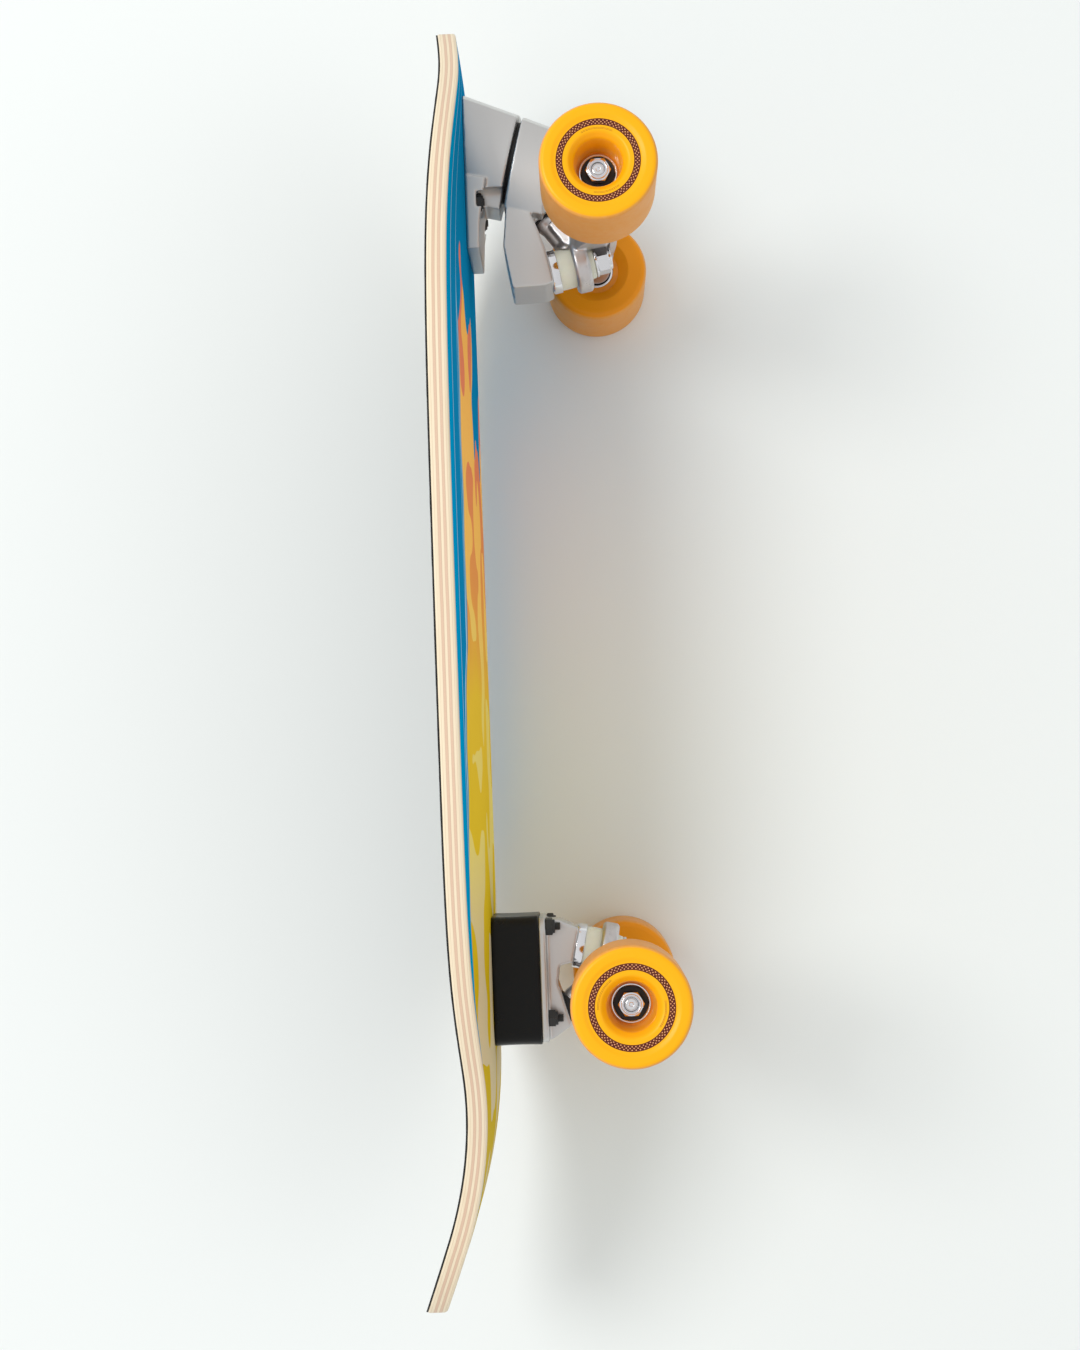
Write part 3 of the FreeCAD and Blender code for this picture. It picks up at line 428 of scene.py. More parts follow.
def alloy(name, colour_shift, smooth, grain_depth):
    """Cast aluminium, tumbled: a soft grain, small pits and rubbed patches."""
    tint = [c * k for c, k in zip(settings().metal.alloy_colour, colour_shift)]
    metal = Finish(name, {"Metallic": 1.0, "Specular IOR Level": 0.5})
    grain = metal.noise(1500.0, 3.0, 0.6)
    lumps = metal.noise(160.0, 3.0, 0.55)
    patches = metal.noise(38.0, 3.0, 0.6)
    pits = 1 - metal.cells(620.0).above(0.20, 0.06)
    few = metal.noise(90.0, 1.0, 0.5).above(0.56, 0.05)
    dark = [c * 0.62 for c in tint]
    light = [min(1.0, c * 1.28) for c in tint]
    shade = metal.blend(patches, tint, light)
    shade = metal.blend(lumps.above(0.58, 0.12) * 0.35, shade, dark)
    shade = metal.blend(pits * few * 0.6, shade, dark)
    rough = metal.span(patches + grain * 0.5, 0.45, 1.05, smooth, smooth + 0.20)
    height = grain * 0.35 + lumps * 0.65 - pits * few * 0.5
    return metal.feed(colour=shade, roughness=rough, normal=metal.bump(height, grain_depth))


def bright_steel(name, shade, smooth):
    """Plated steel with fine turning marks."""
    plate = Finish(name, {"Metallic": 1.0})
    fine = plate.noise(900.0, 3.0, 0.6)
    cloud = plate.noise(120.0, 2.0, 0.5)
    tone = plate.blend(cloud, shade, tuple(min(1.0, c * 1.12) for c in shade))
    rough = plate.span(fine, 0.3, 0.7, smooth, smooth + 0.12)
    return plate.feed(colour=tone, roughness=rough, normal=plate.bump(fine, 0.00002))


def cushion():
    """Cream cast urethane, a little cloudy."""
    rubber = Finish("cushion_urethane", {
        "Specular IOR Level": 0.5, "Subsurface Weight": 0.25,
        "Subsurface Radius": (0.006, 0.005, 0.003), "Subsurface Scale": 0.5})
    cloud = rubber.noise(90.0, 2.0, 0.5)
    fine = rubber.noise(1200.0, 2.0, 0.5)
    shade = rubber.blend(cloud, (0.80, 0.80, 0.67), (0.72, 0.72, 0.60))
    rough = rubber.span(fine, 0.3, 0.7, 0.26, 0.4)
    return rubber.feed(colour=shade, roughness=rough, normal=rubber.bump(fine, 0.00003))


def dull_black(name, shade, smooth):
    """Black polymer or rubber seal."""
    seal = Finish(name, {"Specular IOR Level": 0.45})
    fine = seal.noise(1600.0, 2.0, 0.6)
    cloud = seal.noise(150.0, 2.0, 0.5)
    tone = seal.blend(cloud, shade, tuple(min(1.0, c * 2.2) for c in shade))
    rough = seal.span(cloud, 0.3, 0.7, smooth, smooth + 0.15)
    return seal.feed(colour=tone, roughness=rough, normal=seal.bump(fine, 0.00004))


def wheel_urethane():
    """Moulded yellow wheel: a lattice ring, fine arcs, painted shade off the outer face, and a duller
    tread whose paler colour is partly worn urethane and partly painted sheen.
    """
    wheels = settings().wheels
    rubber = Finish("wheel_urethane", {"Specular IOR Level": 0.25})
    spot = rubber.attribute("wheel_spot", "Vector")
    across, up, along = rubber.axes(spot)
    reach = rubber.node("ShaderNodeVectorMath", {"operation": "LENGTH"}, {
        0: rubber.node("ShaderNodeCombineXYZ", {}, {"X": across, "Y": up})}, "Value")
    turn = rubber.math("ARCTAN2", up, across) / (2 * math.pi)
    around = turn * LATTICE_COUNT
    rows = (reach - RING_LOW) / (RING_HIGH - RING_LOW) * LATTICE_ROWS
    first = abs((around + rows).math("FRACT") - 0.5)
    second = abs((around - rows).math("FRACT") - 0.5)
    diamond = first.math("MAXIMUM", second)
    cells = 1 - diamond.above(0.22, 0.03)
    ring = reach.between(RING_LOW, RING_HIGH, 0.06 * MM)
    bands = reach.between(RING_LOW + 0.3 * MM, RING_HIGH - 0.3 * MM, 0.06 * MM)
    arcs = (reach.between(18.35 * MM, 18.50 * MM, 0.03 * MM)
            + reach.between(17.75 * MM, 17.90 * MM, 0.03 * MM))
    sectors = turn.between(0.06, 0.19, 0.001) + turn.between(-0.49, -0.33, 0.001)
    on_face = along.above(WHEEL_FACE - 2.2 * MM, 0.2 * MM)
    ink = (ring + arcs * sectors) * on_face
    fade = rubber.noise(700.0, 3.0, 0.6)
    ink = ink * rubber.span(fade, 0.25, 0.5, 0.86, 1.0)
    cloud = rubber.noise(60.0, 2.0, 0.5)
    face = rubber.blend(cloud, wheels.face_colour, (0.96, 0.44, 0.002))
    # Painted shade: the urethane is made darker and redder off the outer face, in the well, and more
    # so on the wheel's inner side.
    inner_side_shade = 1 - along.above(WHEEL_INNER + 20.0 * MM, 1.0 * MM)
    face = rubber.blend((1 - on_face) * 0.2 + inner_side_shade * 0.5, face, (0.84, 0.24, 0.003))
    # Painted sheen and wear: the tread gets a paler, peachier colour than the face, with dusty
    # patches.
    tread = reach.above(wheels.radius - 1.1 * MM, 0.6 * MM)
    dust = rubber.noise(240.0, 4.0, 0.65)
    tread_sheen_and_dust = rubber.blend(dust.above(0.5, 0.2) * 0.4, wheels.tread_sheen_and_wear_colour, (0.80, 0.43, 0.15))
    shade = rubber.blend(tread, face, tread_sheen_and_dust)
    lattice = rubber.blend(cells * bands, wheels.print_colour, (0.78, 0.36, 0.17))
    shade = rubber.blend(ink, shade, lattice)
    rough = rubber.span(cloud + tread * 0.6, 0.3, 1.2, 0.30, 0.52)
    fine = rubber.noise(1100.0, 2.0, 0.6)
    return rubber.feed(colour=shade, roughness=rough,
                       normal=rubber.bump(fine + ink * 0.6, 0.00003))


def pale_surface():
    """Pale surface seen from its front; from behind it lets the view through."""
    sheet = Finish("pale_surface", {"Roughness": 0.75, "Specular IOR Level": 0.2})
    soft = sheet.noise(1.3, 2.0, 0.5)
    fine = sheet.noise(600.0, 2.0, 0.5)
    tone = settings().stage.surface_colour
    shade = sheet.blend(soft, tone, tuple(c * 0.97 for c in tone))
    sheet.feed(colour=shade, normal=sheet.bump(fine, 0.00002))
    clear = sheet.node("ShaderNodeBsdfTransparent", {}, {}, "BSDF")
    behind = sheet.node("ShaderNodeNewGeometry", {}, {}, "Backfacing")
    solid = Wire(sheet, sheet.shader.outputs["BSDF"])
    mix = sheet.node("ShaderNodeMixShader", {}, {"Fac": behind, 1: solid, 2: clear}, "Shader")
    sheet.tree.links.new(mix.socket, sheet.tree.nodes["Material Output"].inputs["Surface"])
    return sheet.material


MAKERS = {
    "underside_paint": underside_paint,
    "maple_plies": maple,
    "grip_grit": grip,
    "black_steel": black_steel,
    "riser_plastic": riser_plastic,
    "cast_alloy": lambda: alloy("cast_alloy", (1.0, 0.985, 0.97), 0.24, 0.00016),
    "polished_alloy": lambda: alloy("polished_alloy", (1.1, 1.07, 1.06), 0.30, 0.00007),
    "bright_steel": lambda: bright_steel("bright_steel", (0.72, 0.72, 0.73), 0.10),
    "satin_steel": lambda: bright_steel("satin_steel", (0.42, 0.42, 0.43), 0.26),
    "bronze": lambda: bright_steel("bronze", (0.62, 0.42, 0.20), 0.28),
    "nylon": lambda: dull_black("nylon", (0.30, 0.36, 0.42), 0.35),
    "cushion_urethane": cushion,
    "black_polymer": lambda: dull_black("black_polymer", (0.006, 0.006, 0.006), 0.45),
    "seal_rubber": lambda: dull_black("seal_rubber", (0.004, 0.004, 0.0045), 0.34),
    "core_plastic": lambda: dull_black("core_plastic", (0.50, 0.155, 0.004), 0.3),
    "wheel_urethane": wheel_urethane,
    "pale_surface": pale_surface,
}


def finish(name):
    """A material by name, made when first asked for."""
    return bpy.data.materials.get(name) or MAKERS[name]()


# ---------------------------------------------------------------- mesh making

def new_object(name, data):
    """An object linked to the scene."""
    thing = bpy.data.objects.new(name, data)
    bpy.context.scene.collection.objects.link(thing)
    return thing


def applied(blank, name):
    """The mesh of an object with its modifiers applied; the object itself goes."""
    graph = bpy.context.evaluated_depsgraph_get()
    mesh = bpy.data.meshes.new_from_object(blank.evaluated_get(graph))
    bpy.data.objects.remove(blank)
    mesh.name = name
    return mesh


def add_piece(name, mesh, materials, body, nodes, sharp=35):
    """Makes an object of a mesh, gives it its materials and body, and hides the CAD nodes it stands
    for.
    """
    piece = new_object(name, mesh)
    for material in materials:
        mesh.materials.append(finish(material))
    mesh.shade_smooth()
    mesh.set_sharp_from_angle(angle=math.radians(sharp))
    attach(piece, body)
    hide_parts(*nodes)
    return piece


def closed_mesh(name, points, faces, marks=None, places=None):
    """A mesh of merged points whose faces all look outwards; places picks each face's material."""
    mesh = bpy.data.meshes.new(name)
    mesh.from_pydata(points, [], faces)
    for label, values in (marks or {}).items():
        kind = "FLOAT_VECTOR" if isinstance(values[0], (tuple, Vector)) else "FLOAT"
        layer = mesh.attributes.new(label, kind, "POINT")
        if kind == "FLOAT":
            layer.data.foreach_set("value", values)
        else:
            layer.data.foreach_set("vector", [c for v in values for c in v])
    if places:
        mesh.polygons.foreach_set("material_index", places)
    work = bmesh.new()
    work.from_mesh(mesh)
    bmesh.ops.remove_doubles(work, verts=work.verts, dist=1e-6)
    bmesh.ops.dissolve_degenerate(work, edges=work.edges, dist=1e-7)
    bmesh.ops.recalc_face_normals(work, faces=work.faces)
    work.to_mesh(mesh)
    work.free()
    return mesh


def rounded(corners, steps=4):
    """A closed outline of (a, b, rounding) corners with an arc in place of each rounded one."""
    outline = []
    count = len(corners)
    for index, corner in enumerate(corners):
        here = Vector(corner[:2])
        radius = corner[2] if len(corner) > 2 else 0.0
        if radius <= 0:
            outline.append(tuple(here))
            continue
        before = Vector(corners[index - 1][:2]) - here
        after = Vector(corners[(index + 1) % count][:2]) - here
        half = before.angle(after) / 2
        setback = min(radius / math.tan(half), before.length * 0.49, after.length * 0.49)
        radius = setback * math.tan(half)
        start = here + before.normalized() * setback
        end = here + after.normalized() * setback
        inward = (before.normalized() + after.normalized()).normalized()
        centre = here + inward * (radius / math.sin(half))
        for step in range(steps + 1):
            ray = (start - centre).lerp(end - centre, step / steps).normalized() * radius
            outline.append(tuple(centre + ray))
    return outline


def axis_frame(origin, axis):
    """Turns (across, up, along) into a place; along runs down the axis."""
    along = Vector(axis).normalized()
    across = along.cross(UP if abs(along.z) < 0.9 else Vector((0, 1, 0))).normalized()
    up = along.cross(across)
    return Matrix.Translation(origin) @ Matrix((across, up, along)).transposed().to_4x4()


def ring_shell(place, profiles, segments=96, bend=None):
    """Points and faces of closed profiles of (radius, along) swept round an axis."""
    points, faces = [], []
    for profile in profiles:
        start = len(points)
        count = len(profile)
        for step in range(segments):
            angle = 2 * math.pi * step / segments
            for radius, along in profile:
                if bend:
                    radius, along = bend(radius, along, angle)
                points.append(place @ Vector((radius * math.cos(angle),
                                              radius * math.sin(angle), along)))
        for step in range(segments):
            this = start + step * count
            other = start + (step + 1) % segments * count
            for index in range(count):
                follow = (index + 1) % count
                if profile[index][0] <= 1e-9 and profile[follow][0] <= 1e-9:
                    continue
                faces.append((this + index, this + follow, other + follow, other + index))
    return points, faces


def joined(*parts):
    """Several (points, faces) sets as one, with each face's part number."""
    points, faces, places = [], [], []
    for number, (more_points, more_faces) in enumerate(parts):
        start = len(points)
        points += more_points
        faces += [tuple(start + i for i in face) for face in more_faces]
        places += [number] * len(more_faces)
    return points, faces, places


def row_faces(row, count):
    """Quads between one ring of points and the next."""
    here, there = row * count, (row + 1) * count
    return [(here + index, here + follow, there + follow, there + index)
            for index, follow in ((i, (i + 1) % count) for i in range(count))]


def tube_shell(place, inner, outer, low, high, outer_round, inner_round, segments=96):
    """A short tube rounded at its upper rims."""
    return ring_shell(place, [rounded([(inner, low), (outer, low), (outer, high, outer_round),
                                       (inner, high, inner_round)])], segments)


def disc_outline(inner, outer, low, high, rounding):
    """A flat disc's section, rounded at both outer rims."""
    return rounded([(inner, low), (outer, low, rounding), (outer, high, rounding), (inner, high)])


def hexagon_turn(angle):
    """How far an angle is from the middle of a hexagon's nearest flat."""
    return (angle + math.pi / 6) % (math.pi / 3) - math.pi / 6


def nut_shell(place, flats, height, hole, segments=96):
    """A chamfered hexagon nut standing on its place."""
    corner_cut = (flats / math.sqrt(3) - flats / 2) * math.tan(math.radians(30))
    lift = [0, corner_cut * 0.35, corner_cut * 0.7, corner_cut]
    wide = flats / math.sqrt(3)
    sides = [(wide, z) for z in lift] + [(wide, height - z) for z in reversed(lift)]
    profile = [(hole, 0), *sides, (hole, height), (hole, height * 0.5)]
    slope = 1 / math.tan(math.radians(30))

    def hexagon(radius, along, angle):
        if radius < wide - 1e-9:
            return radius, along
        limit = flats / 2 + min(along, height - along) * slope
        return min(flats / 2 / math.cos(hexagon_turn(angle)), limit), along

    return ring_shell(place, [profile], segments, hexagon)


def thread_shell(place, radius, depth, pitch, low, high, segments=32):
    """A rod whose skin is a true screw thread, chamfered and closed at both ends."""
    levels = max(8, int((high - low) / pitch * 6))
    profile = [(0, low)] + [(radius, low + (high - low) * i / levels) for i in range(levels + 1)]
    profile.append((0, high))

    def screw(r, along, angle):
        if r < radius - 1e-9:
            return r, along
        turn = (along / pitch + angle / (2 * math.pi)) % 1.0
        tooth = abs(turn - 0.5) * 2
        taper = min(1.0, (along - low) / pitch + 0.1, (high - along) / pitch + 0.1)
        return r - depth * (tooth * taper + (1 - taper)), along

    return ring_shell(place, [profile], segments, screw)


def turned_piece(name, place, profiles, material, body, nodes, segments=96):
    """A piece of closed lathe profiles."""
    mesh = closed_mesh(name, *ring_shell(place, profiles, segments))
    add_piece(name, mesh, [material], body, nodes)


def joined_piece(name, shells, materials, body, nodes, insert=None):
    """A piece of several shells; insert numbers the shell of each three with a second material."""
    points, faces, places = joined(*shells)
    marks = [int(place % 3 == insert) for place in places]
    add_piece(name, closed_mesh(name, points, faces, places=marks), materials, body, nodes)


def cast_piece(name, node, material, body):
    """A casting: the CAD skin rebuilt in small cells, its edges worn round."""
    metal = settings().metal
    mesh = frame["nodes"][node].data.copy()
    mesh.name = name
    mesh.materials.clear()
    work = bmesh.new()
    work.from_mesh(mesh)
    bmesh.ops.remove_doubles(work, verts=work.verts, dist=2e-6)
    work.to_mesh(mesh)
    work.free()
    blank = new_object(name + "_blank", mesh)
    tread_sheen_and_dust = blank.modifiers.new("tread_sheen_and_dust", "REMESH")
    tread_sheen_and_dust.mode = "VOXEL"
    tread_sheen_and_dust.voxel_size = metal.voxel
    worn = blank.modifiers.new("worn", "SMOOTH")
    worn.factor = 0.5
    worn.iterations = metal.passes
    result = applied(blank, name)
    result.materials.clear()
    add_piece(name, result, [material], body, [node], sharp=180)


def repeat_tree():
    """Geometry Nodes: repeats the incoming shape on a rectangle of places."""
    tree = bpy.data.node_groups.get("places_on_rectangle")
    if tree:
        return tree
    tree = bpy.data.node_groups.new("places_on_rectangle", "GeometryNodeTree")
    face = tree.interface
    face.new_socket("Geometry", in_out="INPUT", socket_type="NodeSocketGeometry")
    for name, kind in (("Pitch Along", "NodeSocketFloat"), ("Pitch Across", "NodeSocketFloat"),
                       ("Count Along", "NodeSocketInt"), ("Count Across", "NodeSocketInt"),
                       ("Centre", "NodeSocketVector"), ("Turn Seed", "NodeSocketInt"),
                       ("Material", "NodeSocketMaterial")):
        face.new_socket(name, in_out="INPUT", socket_type=kind)
    face.new_socket("Geometry", in_out="OUTPUT", socket_type="NodeSocketGeometry")

    def add(kind, links, **settings_of):
        node = tree.nodes.new(kind)
        for key, value in settings_of.items():
            setattr(node, key, value)
        for key, source in links.items():
            if isinstance(source, bpy.types.NodeSocket):
                tree.links.new(source, node.inputs[key])
            else:
                node.inputs[key].default_value = source
        return node

    given = tree.nodes.new("NodeGroupInput").outputs
    grid = add("GeometryNodeMeshGrid", {
        "Size X": given["Pitch Along"], "Size Y": given["Pitch Across"],
        "Vertices X": given["Count Along"], "Vertices Y": given["Count Across"]})
    moved = add("GeometryNodeTransform", {"Geometry": grid.outputs["Mesh"],
                                          "Translation": given["Centre"]})
    spin = add("FunctionNodeRandomValue", {"Min": 0.0, "Max": 1.0, "Seed": given["Turn Seed"]},
               data_type="FLOAT")
    spin_value = [s for s in spin.outputs if s.enabled][0]
    angle = add("ShaderNodeMath", {0: spin_value, 1: 2 * math.pi}, operation="MULTIPLY")
    turn = add("ShaderNodeCombineXYZ", {"Z": angle.outputs[0]})
    copies = add("GeometryNodeInstanceOnPoints", {
        "Points": moved.outputs["Geometry"], "Instance": given["Geometry"],
        "Rotation": turn.outputs["Vector"]})
    real = add("GeometryNodeRealizeInstances", {"Geometry": copies.outputs["Instances"]})
    painted = add("GeometryNodeSetMaterial", {"Geometry": real.outputs["Geometry"],
                                              "Material": given["Material"]})
    leave = tree.nodes.new("NodeGroupOutput")
    tree.links.new(painted.outputs["Geometry"], leave.inputs[0])
    return tree


def repeated_piece(name, shell, pitch, count, centre, material, body, nodes, seed):
    """One shape, made at the origin, repeated on a rectangle by Geometry Nodes."""
    tree = repeat_tree()
    blank = new_object(name + "_blank", closed_mesh(name + "_one", *shell))
    blank.data.shade_smooth()
    blank.data.set_sharp_from_angle(angle=math.radians(35))
    rows = blank.modifiers.new("places", "NODES")
    rows.node_group = tree
    wanted = {"Pitch Along": pitch[0], "Pitch Across": pitch[1], "Count Along": count[0],
              "Count Across": count[1], "Centre": tuple(centre), "Turn Seed": seed,
              "Material": finish(material)}
    for item in tree.interface.items_tree:
        if item.in_out == "INPUT" and item.name in wanted:
            rows[item.identifier] = wanted[item.name]
    blank.update_tag()
    mesh = applied(blank, name)
    mesh.materials.clear()
    add_piece(name, mesh, [material], body, nodes)


# ---------------------------------------------------------------- deck

OUTLINE = [(1.0, 0.0), (1.0, 0.104), (0.93, 0.28), (0.80, 0.67), (0.62, 0.975), (0.282, 1.002),
           (-0.18, 1.0), (-0.487, 0.984), (-0.615, 0.712), (-0.761, 0.496), (-0.901, 0.376),
           (-0.978, 0.16), (-1.0, 0.064), (-1.0, 0.0)]


def spline_point(poles, t):
    """A place on a clamped even cubic B-spline, t from 0 to 1."""
    degree = 3
    spans = len(poles) - degree
    knots = [0] * degree + list(range(spans + 1)) + [spans] * degree
    u = min(t * spans, spans - 1e-9)
    k = int(u) + degree
    work = [Vector(poles[j + k - degree]) for j in range(degree + 1)]
    for level in range(1, degree + 1):
        for j in range(degree, level - 1, -1):
            left = knots[j + k - degree]
            right = knots[j + 1 + k - level]
            share = (u - left) / (right - left)
            work[j] = work[j - 1].lerp(work[j], share)
    return work[degree]


def plan_outline(margin, spacing):
    """Evenly spaced places round the deck's plan, and the outward direction at each."""
    half_x, half_y = HALF_LENGTH - margin, HALF_WIDTH - margin
    poles = [(x * half_x, y * half_y) for x, y in OUTLINE]
    fine = [spline_point(poles, i / 4000) for i in range(4001)]
    length = [0.0]
    for a, b in zip(fine, fine[1:]):
        length.append(length[-1] + (b - a).length)
    count = int(length[-1] / spacing)
    side, walk = [], 0
    for step in range(count + 1):
        want = length[-1] * step / count
        while walk < len(fine) - 2 and length[walk + 1] < want:
            walk += 1
        share = (want - length[walk]) / max(1e-12, length[walk + 1] - length[walk])
        side.append(fine[walk].lerp(fine[walk + 1], share))
    side[0].y = 0.0
    side[-1].y = 0.0
    loop = side + [Vector((p.x, -p.y)) for p in reversed(side[1:-1])]
    outward = []
    for index in range(len(loop)):
        step = loop[(index + 1) % len(loop)] - loop[index - 1]
        outward.append(Vector((-step.y, step.x)).normalized())
    if outward[0].x < 0:
        outward = [-n for n in outward]
    return loop, outward


def deck_height(x, y, above):
    """Height of the deck's sheet at a place, a distance above its underside."""
    deck = settings().deck
    out = max(0.0, abs(y) - deck.flat)
    above += deck.rail_bend - math.sqrt(deck.rail_bend ** 2 - out ** 2)
    if x > deck.nose_start:
        run = x - deck.nose_start
        return UNDERSIDE + deck.nose_bend - math.sqrt((deck.nose_bend - above) ** 2 - run ** 2)
    run = -deck.kick_start - x
    if run <= 0:
        return UNDERSIDE + above
    bend = deck.kick_bend - above
    turn = bend * math.sin(deck.kick_angle)
    if run <= turn:
        return UNDERSIDE + deck.kick_bend - math.sqrt(bend ** 2 - run ** 2)
    return (UNDERSIDE + deck.kick_bend - bend * math.cos(deck.kick_angle)
            + (run - turn) * math.tan(deck.kick_angle))


def sheet_shell(loop, outward, levels, spokes, wobble=None):
    """A closed sheet: rings of (inset, height) round its edge, then spokes to its spine."""
    end = HALF_LENGTH - 14 * MM
    points, rims, plies, faces, zones = [], [], [], [], []
    count = len(loop)

    def add_ring(inset, above, share):
        for index, (here, out) in enumerate(zip(loop, outward)):
            shift = wobble(index) if wobble else 0.0
            place = here - out * (inset + shift)
            spine = Vector((max(-end, min(end, place.x)), 0.0))
            spot = place.lerp(spine, share)
            points.append((spot.x, spot.y, deck_height(spot.x, spot.y, above)))
            rims.append(inset + (spot - place).length)
            plies.append(above)

    rows = [(levels[0][0], levels[0][1], 1 - i / spokes) for i in range(spokes)]
    first_edge = len(rows)
    rows += [(inset, above, 0.0) for inset, above in levels]
    last_edge = len(rows) - 1
    rows += [(levels[-1][0], levels[-1][1], (i + 1) / spokes) for i in range(spokes)]
    for inset, above, share in rows:
        add_ring(inset, above, share)
    for row in range(len(rows) - 1):
        zone = 0 if row < first_edge else 2 if row >= last_edge else 1
        faces += row_faces(row, count)
        zones += [zone] * count
    return points, faces, rims, plies, zones


def edge_arc(radius, floor_height, rising, steps=4):
    """(inset, height) places of a rounded edge between a face and the side."""
    arc = []
    for step in range(steps + 1):
        angle = math.pi / 2 * step / steps
        if rising:
            arc.append((radius * (1 - math.sin(angle)),
                        floor_height + radius * (1 - math.cos(angle))))
        else:
            arc.append((radius * (1 - math.cos(angle)),
                        floor_height - radius * (1 - math.sin(angle))))
    return arc


def bolt_places():
    """Middles of the front and rear groups of four deck bolts, and the pitch of each."""
    groups = {}
    for end in ENDS:
        low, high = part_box(end + "_deck_bolts")
        head = 2 * BOLT_HEAD
        groups[end] = ((low + high) / 2, (high.x - low.x - head, high.y - low.y - head), high.z)
    return groups


def drill(mesh, materials):
    """Gives a mesh its materials and cuts the deck bolts' eight countersunk seats into it."""
    for material in materials:
        mesh.materials.append(finish(material))
    cutters = []
    for middle_place, (pitch_x, pitch_y), head_top in bolt_places().values():
        for sx in (-0.5, 0.5):
            for sy in (-0.5, 0.5):
                place = Matrix.Translation((middle_place.x + sx * pitch_x,
                                            middle_place.y + sy * pitch_y, head_top))
                cutters.append(ring_shell(place, [[
                    (0, -SEAT_DEPTH), (SEAT_RADIUS - SEAT_DEPTH + 0.5 * MM, -SEAT_DEPTH),
                    (SEAT_RADIUS, -0.5 * MM), (SEAT_RADIUS, 4 * MM), (0, 4 * MM)]], 32))
    points, faces, _ = joined(*cutters)
    tool = new_object("drill", closed_mesh("drill", points, faces))
    work = new_object("drilled", mesh)
    cut = work.modifiers.new("seats", "BOOLEAN")
    cut.operation = "DIFFERENCE"
    cut.solver = "EXACT"
    cut.object = tool
    result = applied(work, mesh.name)
    bpy.data.objects.remove(tool)
    return result


class BOARD_OT_deck(bpy.types.Operator):
    """Build the pressed deck with its painted underside, and the grip sheet"""

    bl_idname = "board.deck"
    bl_label = "Deck and grip"

    def execute(self, context):
        deck = settings().deck
        top = deck.thickness
        loop, outward = plan_outline(0.0, 2.6 * MM)
        side = [(0.0, deck.edge + (top - deck.edge - 1.0 * MM) * i / 5) for i in range(1, 5)]
        levels = edge_arc(deck.edge, 0.0, True) + side + edge_arc(1.0 * MM, top, False)
        points, faces, rims, plies, zones = sheet_shell(loop, outward, levels, 22)
        places = [1 if zone == 0 else 0 for zone in zones]
        mesh = closed_mesh("deck_board", points, faces, {"rim": rims, "ply": plies}, places)
        mesh = drill(mesh, ["maple_plies", "underside_paint"])
        add_piece("deck_board", mesh, [], "board", ["deck"], sharp=40)

        def ragged(index):
            return 0.35 * MM * noise.noise(Vector((index * 0.31, 0.0, 4.7)))

        loop, outward = plan_outline(0.5 * MM, 2.6 * MM)
        low = top + 0.02 * MM
        high = top + deck.grip
        levels = [(0.0, low), (0.0, (low + high) / 2), (0.12 * MM, high)]
        points, faces = sheet_shell(loop, outward, levels, 20, ragged)[:2]
        mesh = drill(closed_mesh("grip_sheet", points, faces), ["grip_grit"])
        add_piece("grip_sheet", mesh, [], "board", ["grip_tape"], sharp=40)
        return {"FINISHED"}


# ---------------------------------------------------------------- bolts, riser and castings

def socket_wall(radius, along, angle):
    """Turns the round wall of a bolt's socket into a hexagon."""
    if 1.8 * MM < radius < 1.9 * MM:
        return 1.6 * MM / math.cos(hexagon_turn(angle)), along
    return radius, along


class BOARD_OT_bolts(bpy.types.Operator):
    """Build the deck bolts with hexagon sockets, and their lock nuts"""

    bl_idname = "board.bolts"
    bl_label = "Deck bolts and nuts"

    def execute(self, context):
        radius, head = BOLT_RADIUS, BOLT_HEAD
        flats, collar_radius = 9.5 * MM, 4.1 * MM
        seeds = {"front": 3, "rear": 8}
        for end, (centre, pitch, head_top) in bolt_places().items():
            low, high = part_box(end + "_deck_bolts")
            length = high.z - low.z
            socket = [(0, -2.0 * MM), (1.85 * MM, -1.9 * MM), (1.85 * MM, 0)]
            outline = rounded([(0, -4 * MM), (radius, -4 * MM), (radius, -2.8 * MM, 0.3 * MM),
                               (head, -0.5 * MM, 0.15 * MM), (head, 0, 0.3 * MM)], 3)
            top_part = ring_shell(Matrix(), [outline + list(reversed(socket))], 48, socket_wall)
            rod = thread_shell(Matrix(), radius, 0.28 * MM, 0.8 * MM, -length, -3.9 * MM, 24)
            points, faces, _ = joined(top_part, rod)
            repeated_piece(end + "_bolts", (points, faces), pitch, (2, 2),
                           (centre.x, centre.y, head_top), "black_steel", "board",
                           [end + "_deck_bolts"], seeds[end])
            low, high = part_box(end + "_deck_nuts")
            tall = high.z - low.z
            flat_part = 0.75 * tall
            down = axis_frame((0, 0, 0), (0, 0, -1))
            hexagon = nut_shell(down, flats, flat_part, radius, 48)
            collar = tube_shell(down, radius, collar_radius, flat_part - 0.2 * MM, tall,
                                0.5 * MM, 0.2 * MM, 48)
            points, faces, _ = joined(hexagon, collar)
            rows = 2 if end == "rear" else 1
            place = ((low.x + high.x) / 2, (low.y + high.y) / 2, high.z)
            along = pitch[0] if rows == 2 else 0.0
            repeated_piece(end + "_lock_nuts", (points, faces), (along, pitch[1]), (rows, 2),
                           place, "black_steel", "board",
                           [end + "_deck_nuts"], seeds[end] + 1)
        return {"FINISHED"}


